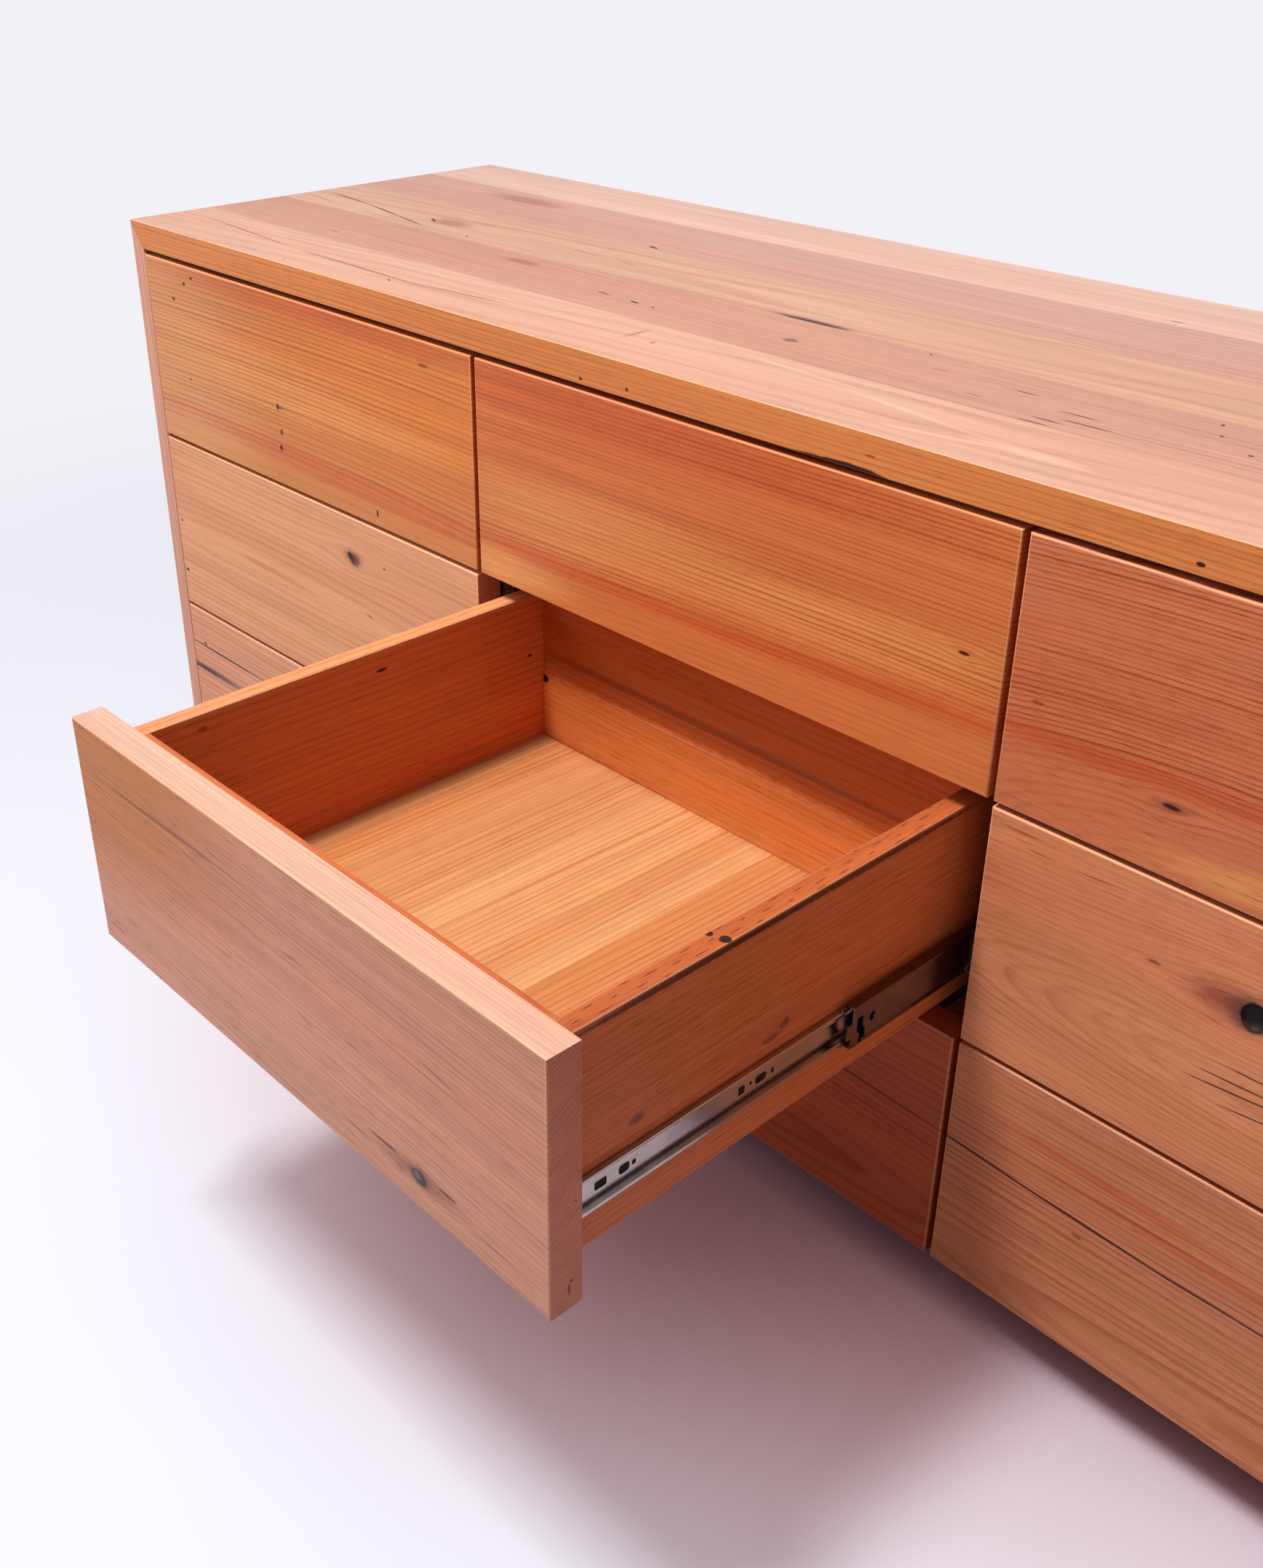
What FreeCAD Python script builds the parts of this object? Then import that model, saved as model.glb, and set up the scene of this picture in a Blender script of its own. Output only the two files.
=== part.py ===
import FreeCAD, Part
import os

import Sketcher

# A chest of nine handle-less drawers in three columns and three rows.
# The frame: origin on the floor under the middle of the case, +X to the right, +Y to the back, +Z up.
# Every drawer rests shut except the middle one of the centre column, which rests pulled out.

# Driving dimensions in millimetres, each with what it measures
SIZES = {
    "case_width": (1650, "outside width of the case"),
    "case_depth": (485, "outside depth of the case, front faces to back edges"),
    "case_height": (638, "height of the case, bottom edge to top surface"),
    "top_thick": (27, "thickness of the top panel"),
    "side_thick": (20, "thickness of each side"),
    "divider_thick": (20, "thickness of each divider"),
    "bottom_thick": (18, "thickness of the case bottom"),
    "back_thick": (10, "thickness of the back panel"),
    "back_inset": (4, "back panel set in from the back edges"),
    "plinth_height": (50, "height of the plinth"),
    "plinth_thick": (18, "thickness of the plinth boards"),
    "plinth_setback": (60, "plinth set in from the front and the sides"),
    "plinth_back_setback": (20, "plinth set in from the back edges"),
    "front_thick": (26, "thickness of the drawer fronts"),
    "front_gap": (5, "upright gap between drawer fronts"),
    "side_gap": (1.5, "upright gap between the outer fronts and the sides"),
    "row_gap": (4, "level gap between drawer fronts"),
    "top_gap": (5, "level gap under the top panel"),
    "upper_row_height": (190, "height of the fronts of the upper row"),
    "middle_row_height": (195, "height of the fronts of the middle row"),
    "front_edge_round": (2, "rounding of the front edges of a drawer front"),
    "stop_gap": (4, "room between a shut front and the case behind it"),
    "wall_thick": (16, "thickness of the drawer box walls"),
    "box_back_room": (25, "room between a shut drawer box and the back panel"),
    "box_drop": (14, "drawer box below the top of its front"),
    "box_rise": (13, "drawer box above the bottom of its front"),
    "case_bottom_clear": (5, "room between the lower drawer boxes and the case bottom"),
    "board_thick": (10, "thickness of a drawer bottom"),
    "board_rise": (15, "underside of a drawer bottom above the box's lower edge"),
    "groove_depth": (6, "depth of the grooves that hold a drawer bottom"),
    "groove_play": (0.2, "room above a drawer bottom in its grooves"),
    "board_play": (0.5, "room around the edges of a drawer bottom"),
    "slide_inset": (2, "slide members behind the back of the shut front"),
    "slide_end_room": (18, "slide members short of the back of the box"),
    "slide_rise": (44.4, "middle of the slides above the box's lower edge"),
    "sheet_thick": (1.2, "sheet metal of the slide members"),
    "runner_height": (28, "height of the drawer's slide member"),
    "runner_reach": (5, "drawer's slide member, outward from the box"),
    "inner_ball_room": (2.3, "height between the drawer's and the middle slide member"),
    "outer_ball_room": (3.8, "height between the middle and the case's slide member"),
    "carrier_start": (3, "inner edge of the middle slide member, from the box"),
    "carrier_web_room": (4.6, "room between the drawer's slide member and the middle one's web"),
    "rail_start": (5, "inner edge of the case's slide member, from the box"),
    "rail_web_room": (1, "room between the webs of the middle and the case's slide member"),
    "ball_play": (0.3, "running room of the ball cages"),
    "cage_inset": (0.3, "ball cages in from the lips' edges"),
    "inner_cage_width": (1.6, "width of the inner ball cages"),
    "outer_cage_width": (3, "width of the outer ball cages"),
    "inner_cage_margin": (12, "inner ball cages short of the lap of their members at full travel"),
    "outer_cage_margin": (18, "outer ball cages short of the lap of their members at full travel"),
    "short_of_stop": (9, "the pulled-out drawer rests short of its full travel"),
    "carrier_travel_share": (0.367, "travel of the middle slide members per travel of the drawer"),
    "screw_head_radius": (4, "radius of a back screw's head"),
    "screw_head_height": (2, "height of a back screw's head"),
    "screw_radius": (2, "radius of a back screw's shank"),
    "screw_length": (30, "length of a back screw under its head"),
    "screw_play": (0.1, "room around a back screw in its hole"),
    "screw_margin": (60, "end screws in from the ends of their row"),
}

COLUMNS = ("left", "centre", "right")
ROWS = ("upper", "middle", "lower")
SHOWN_OPEN = ("centre", "middle")
CROSS_RAILS = 3
DIVIDER_SCREWS = 4
BOTTOM_SCREWS = 6

doc = FreeCAD.newDocument("chest")
sheet = doc.addObject("Spreadsheet::Sheet", "Sizes")
for line, (alias, (value, meaning)) in enumerate(SIZES.items(), start=1):
    sheet.set(f"A{line}", meaning)
    sheet.set(f"B{line}", str(value))
    sheet.setAlias(f"B{line}", alias)
doc.recompute()

nodes = {}


def size(alias):
    """The expression that reads one driving dimension."""
    return f"Sizes.{alias}"


def add(*terms):
    """The expression of a sum."""
    return "(" + " + ".join(terms) + ")"


def less(first, *rest):
    """The expression of the first term less all the others."""
    return "(" + " - ".join((first,) + rest) + ")"


def times(factor, term):
    """The expression of a term taken a number of times."""
    return f"({factor} * {term})"


def half(term):
    """The expression of half a term."""
    return f"({term} / 2)"


# Places that several pieces share
left_face = f"(-{size('case_width')} / 2)"
right_face = half(size("case_width"))
front_face = f"(-{size('case_depth')} / 2)"
back_edge = half(size("case_depth"))
case_foot = size("plinth_height")
top_underside = add(case_foot, less(size("case_height"), size("top_thick")))
inner_left = add(left_face, size("side_thick"))
inner_right = less(right_face, size("side_thick"))
inner_width = less(inner_right, inner_left)
case_front = add(front_face, size("front_thick"), size("stop_gap"))
back_surface = less(back_edge, size("back_inset"))
back_front = less(back_surface, size("back_thick"))
inside_depth = less(back_front, case_front)

column_pitch = f"({less(inner_width, size('front_gap'))} / {len(COLUMNS)})"
lower_row_height = less(
    size("case_height"), size("top_thick"), size("top_gap"),
    size("upper_row_height"), size("middle_row_height"), times(len(ROWS) - 1, size("row_gap")),
)
row_heights = (size("upper_row_height"), size("middle_row_height"), lower_row_height)

box_depth = less(back_front, add(front_face, size("front_thick")), size("box_back_room"))
slide_length = less(box_depth, size("slide_inset"), size("slide_end_room"))
carrier_reach = add(size("runner_reach"), size("carrier_web_room"), size("sheet_thick"))
slide_space = add(carrier_reach, size("rail_web_room"), size("sheet_thick"))
carrier_height = add(
    size("runner_height"), times(2, size("inner_ball_room")), times(2, size("sheet_thick")),
)
rail_height = add(carrier_height, times(2, size("outer_ball_room")), times(2, size("sheet_thick")))
slide_front = add(front_face, size("front_thick"), size("slide_inset"))
shown_opening = less(slide_length, size("short_of_stop"))


def front_left(column):
    """Left edge of the fronts of a column."""
    if column == 0:
        return add(inner_left, size("side_gap"))
    return add(inner_left, size("front_gap"), times(column, column_pitch))


def front_right(column):
    """Right edge of the fronts of a column."""
    if column == len(COLUMNS) - 1:
        return less(inner_right, size("side_gap"))
    return add(inner_left, times(column + 1, column_pitch))


def front_foot(row):
    """Lower edge of the fronts of a row."""
    below = [add(height, size("row_gap")) for height in row_heights[row + 1:]]
    return add(case_foot, *below)


def divider_left(number):
    """Left face of a divider, centred behind the gap that ends a column."""
    gap_middle = less(front_left(number + 1), half(size("front_gap")))
    return less(gap_middle, half(size("divider_thick")))


def bay_left(column):
    """Left end of the room inside a column."""
    if column == 0:
        return inner_left
    return add(divider_left(column - 1), size("divider_thick"))


def bay_right(column):
    """Right end of the room inside a column."""
    if column == len(COLUMNS) - 1:
        return inner_right
    return divider_left(column)


def box_foot(row):
    """Lower edge of the drawer boxes of a row."""
    if row == len(ROWS) - 1:
        return add(front_foot(row), size("bottom_thick"), size("case_bottom_clear"))
    return add(front_foot(row), size("box_rise"))


def place(thing, x, y, z):
    """Binds the place of a piece to expressions."""
    thing.setExpression("Placement.Base.x", x)
    thing.setExpression("Placement.Base.y", y)
    thing.setExpression("Placement.Base.z", z)


def block(label, corner, lengths):
    """A squared piece from its lowest corner and its three lengths."""
    piece = doc.addObject("Part::Box", label)
    piece.Label = label
    for side, length in zip(("Length", "Width", "Height"), lengths):
        piece.setExpression(side, length)
    place(piece, *corner)
    return piece


def rod(label, corner, radius, length):
    """A round piece that runs to the front from its back end."""
    piece = doc.addObject("Part::Cylinder", label)
    piece.Label = label
    piece.setExpression("Radius", radius)
    piece.setExpression("Height", length)
    lie_down = FreeCAD.Rotation(FreeCAD.Vector(0, 0, 1), FreeCAD.Vector(0, -1, 0))
    piece.Placement = FreeCAD.Placement(FreeCAD.Vector(0, 0, 0), lie_down)
    place(piece, *corner)
    return piece


def cut(label, blank, tool):
    """A piece with another taken out of it."""
    piece = doc.addObject("Part::Cut", label)
    piece.Label = label
    piece.Base = blank
    piece.Tool = tool
    return piece


def group(label, pieces):
    """Several separate solids under one name."""
    bundle = doc.addObject("Part::Compound", label)
    bundle.Label = label
    bundle.Links = pieces
    return bundle


def body_plane(body, role):
    """One of a body's own origin planes."""
    return next(feature for feature in body.Origin.OriginFeatures if feature.Role == role)


def padded_outline(label, corners, depth, corner):
    """A body with a straight-sided outline in X and Z, padded towards the back."""
    body = doc.addObject("PartDesign::Body", label)
    body.Label = label
    sketch = body.newObject("Sketcher::SketchObject", f"{label}_outline")
    sketch.AttachmentSupport = [(body_plane(body, "XZ_Plane"), "")]
    sketch.MapMode = "FlatFace"
    doc.recompute()
    points = []
    for across, up in corners:
        x = doc.Sizes.evalExpression(across) if across != "0" else 0
        z = doc.Sizes.evalExpression(up) if up != "0" else 0
        points.append(FreeCAD.Vector(float(x), float(z), 0))
    count = len(points)
    for number, start in enumerate(points):
        sketch.addGeometry(Part.LineSegment(start, points[(number + 1) % count]))
    for number in range(count):
        sketch.addConstraint(Sketcher.Constraint("Coincident", number, 2, (number + 1) % count, 1))
    for number, (across, up) in enumerate(corners):
        for axis, kind, expression in ((-2, "DistanceX", across), (-1, "DistanceY", up)):
            if expression == "0":
                sketch.addConstraint(Sketcher.Constraint("PointOnObject", number, 1, axis))
                continue
            reach = points[number].x if kind == "DistanceX" else points[number].y
            index = sketch.addConstraint(Sketcher.Constraint(kind, -1, 1, number, 1, reach))
            sketch.setExpression(f"Constraints[{index}]", expression)
    pad = body.newObject("PartDesign::Pad", f"{label}_pad")
    pad.Profile = sketch
    pad.setExpression("Length", depth)
    pad.Reversed = True
    place(body, *corner)
    doc.recompute()
    return body, pad


def rectangle(width, height):
    """The corners of a rectangle from zero."""
    return [("0", "0"), (width, "0"), (width, height), ("0", height)]


# The case: a top and two sides that meet in mitres, dividers, bottom and back
def make_case_panels():
    """The fixed panels of the case."""
    side_height = less(size("case_height"), size("top_thick"))
    far_corner = less(size("case_width"), size("side_thick"))
    top_outline = [
        (size("side_thick"), "0"), (far_corner, "0"),
        (size("case_width"), size("top_thick")), ("0", size("top_thick")),
    ]
    left_outline = [
        ("0", "0"), (size("side_thick"), "0"),
        (size("side_thick"), side_height), ("0", size("case_height")),
    ]
    right_outline = [
        ("0", "0"), (size("side_thick"), "0"),
        (size("side_thick"), size("case_height")), ("0", side_height),
    ]
    outlines = {
        "top_panel": (top_outline, (left_face, front_face, top_underside)),
        "left_side": (left_outline, (left_face, front_face, case_foot)),
        "right_side": (right_outline, (inner_right, front_face, case_foot)),
    }
    for label, (outline, corner) in outlines.items():
        nodes[label] = padded_outline(label, outline, size("case_depth"), corner)[0]

    floor_top = add(case_foot, size("bottom_thick"))
    divider_height = less(top_underside, floor_top)
    holes = group("screw_holes", [screw_hole(*spot) for spot in screw_spots()])
    blanks = {
        "bottom_panel": (
            (inner_left, case_front, case_foot), (inner_width, inside_depth, size("bottom_thick")),
        ),
        "back_panel": (
            (inner_left, back_front, case_foot),
            (inner_width, size("back_thick"), less(top_underside, case_foot)),
        ),
    }
    for number, column in enumerate((COLUMNS[0], COLUMNS[-1])):
        blanks[f"{column}_divider"] = (
            (divider_left(number), case_front, floor_top),
            (size("divider_thick"), inside_depth, divider_height),
        )
    for label, (corner, lengths) in blanks.items():
        blank = block(f"{label}_blank", corner, lengths)
        nodes[label] = cut(label, blank, holes)


# The back panel's screws, a row up each divider and one along the case bottom
def screw_spots():
    """Names and places, in X and Z, of the back screws."""
    spots = []
    floor_top = add(case_foot, size("bottom_thick"))
    lowest = add(floor_top, size("screw_margin"))
    rise = less(top_underside, size("screw_margin"), lowest)
    for number in range(len(COLUMNS) - 1):
        middle = add(divider_left(number), half(size("divider_thick")))
        for step in range(DIVIDER_SCREWS):
            up = add(lowest, f"{step} * {rise} / {DIVIDER_SCREWS - 1}")
            spots.append((f"divider_{number}_screw_{step}", middle, up))
    first = add(inner_left, size("screw_margin"))
    run = less(inner_right, size("screw_margin"), first)
    for step in range(BOTTOM_SCREWS):
        across = add(first, f"{step} * {run} / {BOTTOM_SCREWS - 1}")
        spots.append((f"bottom_screw_{step}", across, add(case_foot, half(size("bottom_thick")))))
    return spots


def screw_hole(label, across, up):
    """Room for one screw's shank."""
    radius = add(size("screw_radius"), size("screw_play"))
    length = add(size("screw_length"), size("screw_play"))
    return rod(f"{label}_hole", (across, back_surface, up), radius, length)


def make_back_screws():
    """The back screws, each a head with its shank."""
    screws = []
    head_height = size("screw_head_height")
    head_end = add(back_surface, head_height)
    for label, across, up in screw_spots():
        shank_start = (across, back_surface, up)
        shank = rod(f"{label}_shank", shank_start, size("screw_radius"), size("screw_length"))
        head_start = (across, head_end, up)
        head = rod(f"{label}_head", head_start, size("screw_head_radius"), head_height)
        screw = doc.addObject("Part::Fuse", label)
        screw.Base = head
        screw.Tool = shank
        screws.append(screw)
    nodes["back_screws"] = group("back_screws", screws)


# The plinth: a frame of boards on edge, set in under the case, with cross rails
def make_plinth():
    """The plinth's front and back boards, end boards and cross rails."""
    left = add(left_face, size("plinth_setback"))
    right = less(right_face, size("plinth_setback"))
    front = add(front_face, size("plinth_setback"))
    back = less(back_edge, size("plinth_back_setback"), size("plinth_thick"))
    length = less(right, left)
    rail_front = add(front, size("plinth_thick"))
    rail_length = less(back, rail_front)
    thick = size("plinth_thick")
    tall = size("plinth_height")
    nodes["plinth_front"] = block("plinth_front", (left, front, "0"), (length, thick, tall))
    nodes["plinth_back"] = block("plinth_back", (left, back, "0"), (length, thick, tall))
    ends = []
    for side, x in (("left", left), ("right", less(right, thick))):
        ends.append(block(f"plinth_{side}_end", (x, rail_front, "0"), (thick, rail_length, tall)))
    nodes["plinth_ends"] = group("plinth_ends", ends)
    rails = []
    for number in range(1, CROSS_RAILS + 1):
        middle = add(left, f"{number} * {length} / {CROSS_RAILS + 1}")
        x = less(middle, half(thick))
        rails.append(block(f"cross_rail_{number}", (x, rail_front, "0"), (thick, rail_length, tall)))
    nodes["plinth_cross_rails"] = group("plinth_cross_rails", rails)


# Slides: sheet-metal channels, measured outward from the drawer box
def channel(label, hand, near, far, web, height, base, y):
    """A channel between two distances from the box, with its web on the near or the far side."""
    sheet_thick = size("sheet_thick")
    width = less(far, near)
    foot = less(base, half(height))
    blank = slide_block(f"{label}_blank", hand, near, width, foot, height, y, slide_length)
    hollow_near = add(near, sheet_thick) if web == "near" else near
    hollow_height = less(height, times(2, sheet_thick))
    hollow = slide_block(
        f"{label}_hollow", hand, hollow_near, less(width, sheet_thick),
        add(foot, sheet_thick), hollow_height, y, slide_length,
    )
    return cut(label, blank, hollow)


def slide_block(label, hand, start, width, foot, height, y, length):
    """A block of a slide that starts at a distance outward from the drawer box."""
    wall, outward = hand
    x = add(wall, start) if outward > 0 else less(wall, start, width)
    return block(label, (x, y, foot), (width, length, height))


def box_faces(column):
    """Outer faces of a column's drawer boxes, each with its outward direction."""
    left = add(bay_left(column), slide_space)
    right = less(bay_right(column), slide_space)
    return {"left": (left, -1), "right": (right, 1)}


def make_rails(column):
    """The fixed slide members of one column."""
    rails = []
    for row, row_name in enumerate(ROWS):
        base = add(box_foot(row), size("slide_rise"))
        for side, hand in box_faces(column).items():
            label = f"{COLUMNS[column]}_{row_name}_{side}_rail"
            rails.append(channel(
                label, hand, size("rail_start"), slide_space, "far",
                rail_height, base, slide_front,
            ))
    nodes[f"{COLUMNS[column]}_slide_rails"] = group(f"{COLUMNS[column]}_slide_rails", rails)


def make_carriers(name, column, row, pulled):
    """The middle slide members of one drawer, each with its four ball cages."""
    base = add(box_foot(row), size("slide_rise"))
    y = less(slide_front, times(size("carrier_travel_share"), pulled))
    lip = less(half(carrier_height), size("sheet_thick"))
    inner_thick = less(size("inner_ball_room"), size("ball_play"))
    outer_thick = less(size("outer_ball_room"), size("ball_play"))
    inner_lap = times(size("carrier_travel_share"), slide_length)
    cage_lengths = {
        "inner": less(inner_lap, size("inner_cage_margin")),
        "outer": less(slide_length, inner_lap, size("outer_cage_margin")),
    }
    cage_starts = {
        "inner": add(size("carrier_start"), size("cage_inset")),
        "outer": add(size("rail_start"), size("cage_inset")),
    }
    outer_y = less(add(y, slide_length), cage_lengths["outer"])
    parts = []
    for side, hand in box_faces(column).items():
        label = f"{name}_{side}_carrier"
        parts.append(channel(
            label, hand, size("carrier_start"), carrier_reach, "far",
            carrier_height, base, y,
        ))
        cages = {
            "inner_upper": ("inner", y, less(add(base, lip), inner_thick), inner_thick),
            "inner_lower": ("inner", y, less(base, lip), inner_thick),
            "outer_upper": ("outer", outer_y, add(base, half(carrier_height)), outer_thick),
            "outer_lower": (
                "outer", outer_y, less(base, half(carrier_height), outer_thick), outer_thick,
            ),
        }
        for cage, (kind, cage_y, foot, thick) in cages.items():
            parts.append(slide_block(
                f"{label}_{cage}_cage", hand, cage_starts[kind], size(f"{kind}_cage_width"),
                foot, thick, cage_y, cage_lengths[kind],
            ))
    nodes[f"{name}_carriers"] = group(f"{name}_carriers", parts)


# One drawer: front, box walls, bottom and runners
def make_drawer(column, row):
    """All the pieces of one drawer."""
    name = f"{COLUMNS[column]}_{ROWS[row]}"
    shown_open = (COLUMNS[column], ROWS[row]) == SHOWN_OPEN
    pulled = shown_opening if shown_open else "0"
    make_front(name, column, row, less(front_face, pulled))
    make_box(name, column, row, add(less(front_face, pulled), size("front_thick")))
    make_runners(name, column, row, less(slide_front, pulled))
    make_carriers(name, column, row, pulled)


def make_front(name, column, row, y):
    """A drawer front with its front edges rounded."""
    label = f"{name}_front"
    corner = (front_left(column), y, front_foot(row))
    outline = rectangle(less(front_right(column), front_left(column)), row_heights[row])
    body, pad = padded_outline(label, outline, size("front_thick"), corner)
    front_plane = pad.Shape.BoundBox.YMin
    edges = [
        f"Edge{number}" for number, edge in enumerate(pad.Shape.Edges, start=1)
        if abs(edge.BoundBox.YMax - front_plane) < Part.Precision.confusion()
    ]
    rounding = body.newObject("PartDesign::Fillet", f"{label}_rounding")
    rounding.Base = (pad, edges)
    rounding.setExpression("Radius", size("front_edge_round"))
    nodes[label] = body


def make_box(name, column, row, y):
    """Four walls with grooves, and the bottom that sits in them."""
    left = add(bay_left(column), slide_space)
    right = less(bay_right(column), slide_space)
    foot = box_foot(row)
    head = less(add(front_foot(row), row_heights[row]), size("box_drop"))
    tall = less(head, foot)
    wall = size("wall_thick")
    inner = add(left, wall)
    across = less(right, left, times(2, wall))
    back_wall = less(add(y, box_depth), wall)

    groove_foot = add(foot, size("board_rise"))
    groove_tall = add(size("board_thick"), size("groove_play"))
    groove_left = less(inner, size("groove_depth"))
    groove_front = less(add(y, wall), size("groove_depth"))
    groove_across = add(across, times(2, size("groove_depth")))
    groove_deep = add(less(back_wall, add(y, wall)), times(2, size("groove_depth")))
    groove = block(
        f"{name}_groove", (groove_left, groove_front, groove_foot),
        (groove_across, groove_deep, groove_tall),
    )
    blanks = {
        "box_left": ((left, y, foot), (wall, box_depth, tall)),
        "box_right": ((less(right, wall), y, foot), (wall, box_depth, tall)),
        "box_front": ((inner, y, foot), (across, wall, tall)),
        "box_back": ((inner, back_wall, foot), (across, wall, tall)),
    }
    walls = []
    for part, (corner, lengths) in blanks.items():
        blank = block(f"{name}_{part}_blank", corner, lengths)
        walls.append(cut(f"{name}_{part}", blank, groove))
    nodes[f"{name}_walls"] = group(f"{name}_walls", walls)

    play = size("board_play")
    corner = (add(groove_left, play), add(groove_front, play), groove_foot)
    lengths = (
        less(groove_across, times(2, play)), less(groove_deep, times(2, play)), size("board_thick"),
    )
    nodes[f"{name}_bottom"] = block(f"{name}_bottom", corner, lengths)


def make_runners(name, column, row, y):
    """The slide members on the two box sides."""
    base = add(box_foot(row), size("slide_rise"))
    runners = []
    for side, hand in box_faces(column).items():
        label = f"{name}_{side}_runner"
        runners.append(channel(
            label, hand, "0", size("runner_reach"), "near", size("runner_height"), base, y,
        ))
    nodes[f"{name}_runners"] = group(f"{name}_runners", runners)


def check_document():
    """Stops unless every object was made, every cut removed something and every piece is sound."""
    for thing in doc.Objects:
        if "Invalid" in thing.State or "Error" in thing.State:
            raise RuntimeError(f"{thing.Label} failed: {thing.State}")
        if thing.TypeId == "Part::Cut" and not thing.Shape.Volume < thing.Base.Shape.Volume:
            raise RuntimeError(f"{thing.Label} lost nothing to its cut")
    for label, piece in nodes.items():
        if piece.Shape.isNull() or not piece.Shape.isValid():
            raise RuntimeError(f"{label} has no sound shape")


def main():
    """Makes every piece, checks them and writes one file for each."""
    make_case_panels()
    make_back_screws()
    make_plinth()
    for column in range(len(COLUMNS)):
        make_rails(column)
        for row in range(len(ROWS)):
            make_drawer(column, row)
    doc.recompute()
    check_document()
    os.makedirs("parts", exist_ok=True)
    for label, piece in nodes.items():
        piece.Shape.exportStep(f"parts/{label}.step")
    print(f"{len(nodes)} nodes written")


main()
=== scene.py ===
import math
from typing import NamedTuple

import bmesh
import bpy
from bpy.props import FloatProperty, FloatVectorProperty, PointerProperty
from mathutils import Euler, Matrix, Vector


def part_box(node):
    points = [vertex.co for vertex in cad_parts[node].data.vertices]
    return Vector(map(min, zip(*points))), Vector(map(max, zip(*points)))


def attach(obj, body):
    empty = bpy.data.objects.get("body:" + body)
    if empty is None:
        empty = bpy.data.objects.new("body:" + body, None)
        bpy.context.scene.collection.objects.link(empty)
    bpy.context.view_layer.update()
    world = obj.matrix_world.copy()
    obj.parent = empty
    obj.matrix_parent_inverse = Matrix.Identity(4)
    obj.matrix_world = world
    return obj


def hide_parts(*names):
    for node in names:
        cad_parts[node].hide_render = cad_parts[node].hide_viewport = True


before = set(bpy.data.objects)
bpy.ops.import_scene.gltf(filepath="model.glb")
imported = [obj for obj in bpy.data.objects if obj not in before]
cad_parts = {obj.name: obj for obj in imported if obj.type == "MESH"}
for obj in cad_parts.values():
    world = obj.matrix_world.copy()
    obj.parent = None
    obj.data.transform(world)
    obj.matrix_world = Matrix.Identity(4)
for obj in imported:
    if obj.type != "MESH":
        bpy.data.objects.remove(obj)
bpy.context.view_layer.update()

bl_info = {
    "name": "Reclaimed Timber Chest",
    "version": (1, 0, 0),
    "blender": (4, 5, 0),
    "location": "View3D > Sidebar > Chest",
    "description": "Dresses a chest of nine drawers in reclaimed timber, with zinc slides and a pale stage",
    "category": "Object",
}

# The frame is in metres: +X to the right, +Y to the back, +Z up, and the drawers open towards -Y
MM = 0.001
COLUMNS = ("left", "centre", "right")
ROWS = ("upper", "middle", "lower")
DRAWERS = [f"{column}_{row}" for column in COLUMNS for row in ROWS]
SHOWN_OPEN = "centre_middle"
FRONT_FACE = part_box("left_upper_front")[0].y
OPEN_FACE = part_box(f"{SHOWN_OPEN}_front")[0].y
TOP_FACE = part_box("top_panel")[1].z
WALL = 16 * MM
BOX_BACK_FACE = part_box(f"{SHOWN_OPEN}_walls")[1].y - WALL


# Properties

def shade(red, green, blue):
    """A colour from its screen values, 0 to 255, as the linear values that Blender keeps."""
    shares = (value / 255 for value in (red, green, blue))
    return tuple(s / 12.92 if s <= 0.04045 else ((s + 0.055) / 1.055) ** 2.4 for s in shares)


def opaque(tone):
    """A colour with full alpha, as a node's socket takes it."""
    return (*tone, 1.0)


def colour(name, description, *screen):
    """A colour property with its default in screen values."""
    return FloatVectorProperty(
        name=name, description=description, default=shade(*screen),
        subtype="COLOR", size=3, min=0, max=1,
    )


def length(name, description, millimetres):
    """A length property with its default in millimetres."""
    return FloatProperty(
        name=name, description=description, default=millimetres * MM,
        subtype="DISTANCE", unit="LENGTH", min=0, precision=4,
    )


def factor(name, description, default):
    """A property from 0 to 1."""
    return FloatProperty(
        name=name, description=description, default=default, subtype="FACTOR", min=0, max=1,
    )


class ChestSizes(bpy.types.PropertyGroup):
    """Roundings and sheet sizes of the dressed pieces."""

    front_round: length("Front rounding", "Rounding of the front edges of a drawer front", 1.4)
    board_round: length("Board rounding", "Rounding of the other timber edges", 0.9)
    inside_round: length("Inside rounding", "Rounding of the boards inside the case", 0.5)
    sheet: length("Sheet", "Thickness of the slides' sheet metal", 1.1)
    bend: length("Bend", "Rounding of the slides' bends", 0.9)
    runner_lip: length("Runner lip", "Height of the lips of the drawers' slide members", 3.4)


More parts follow.
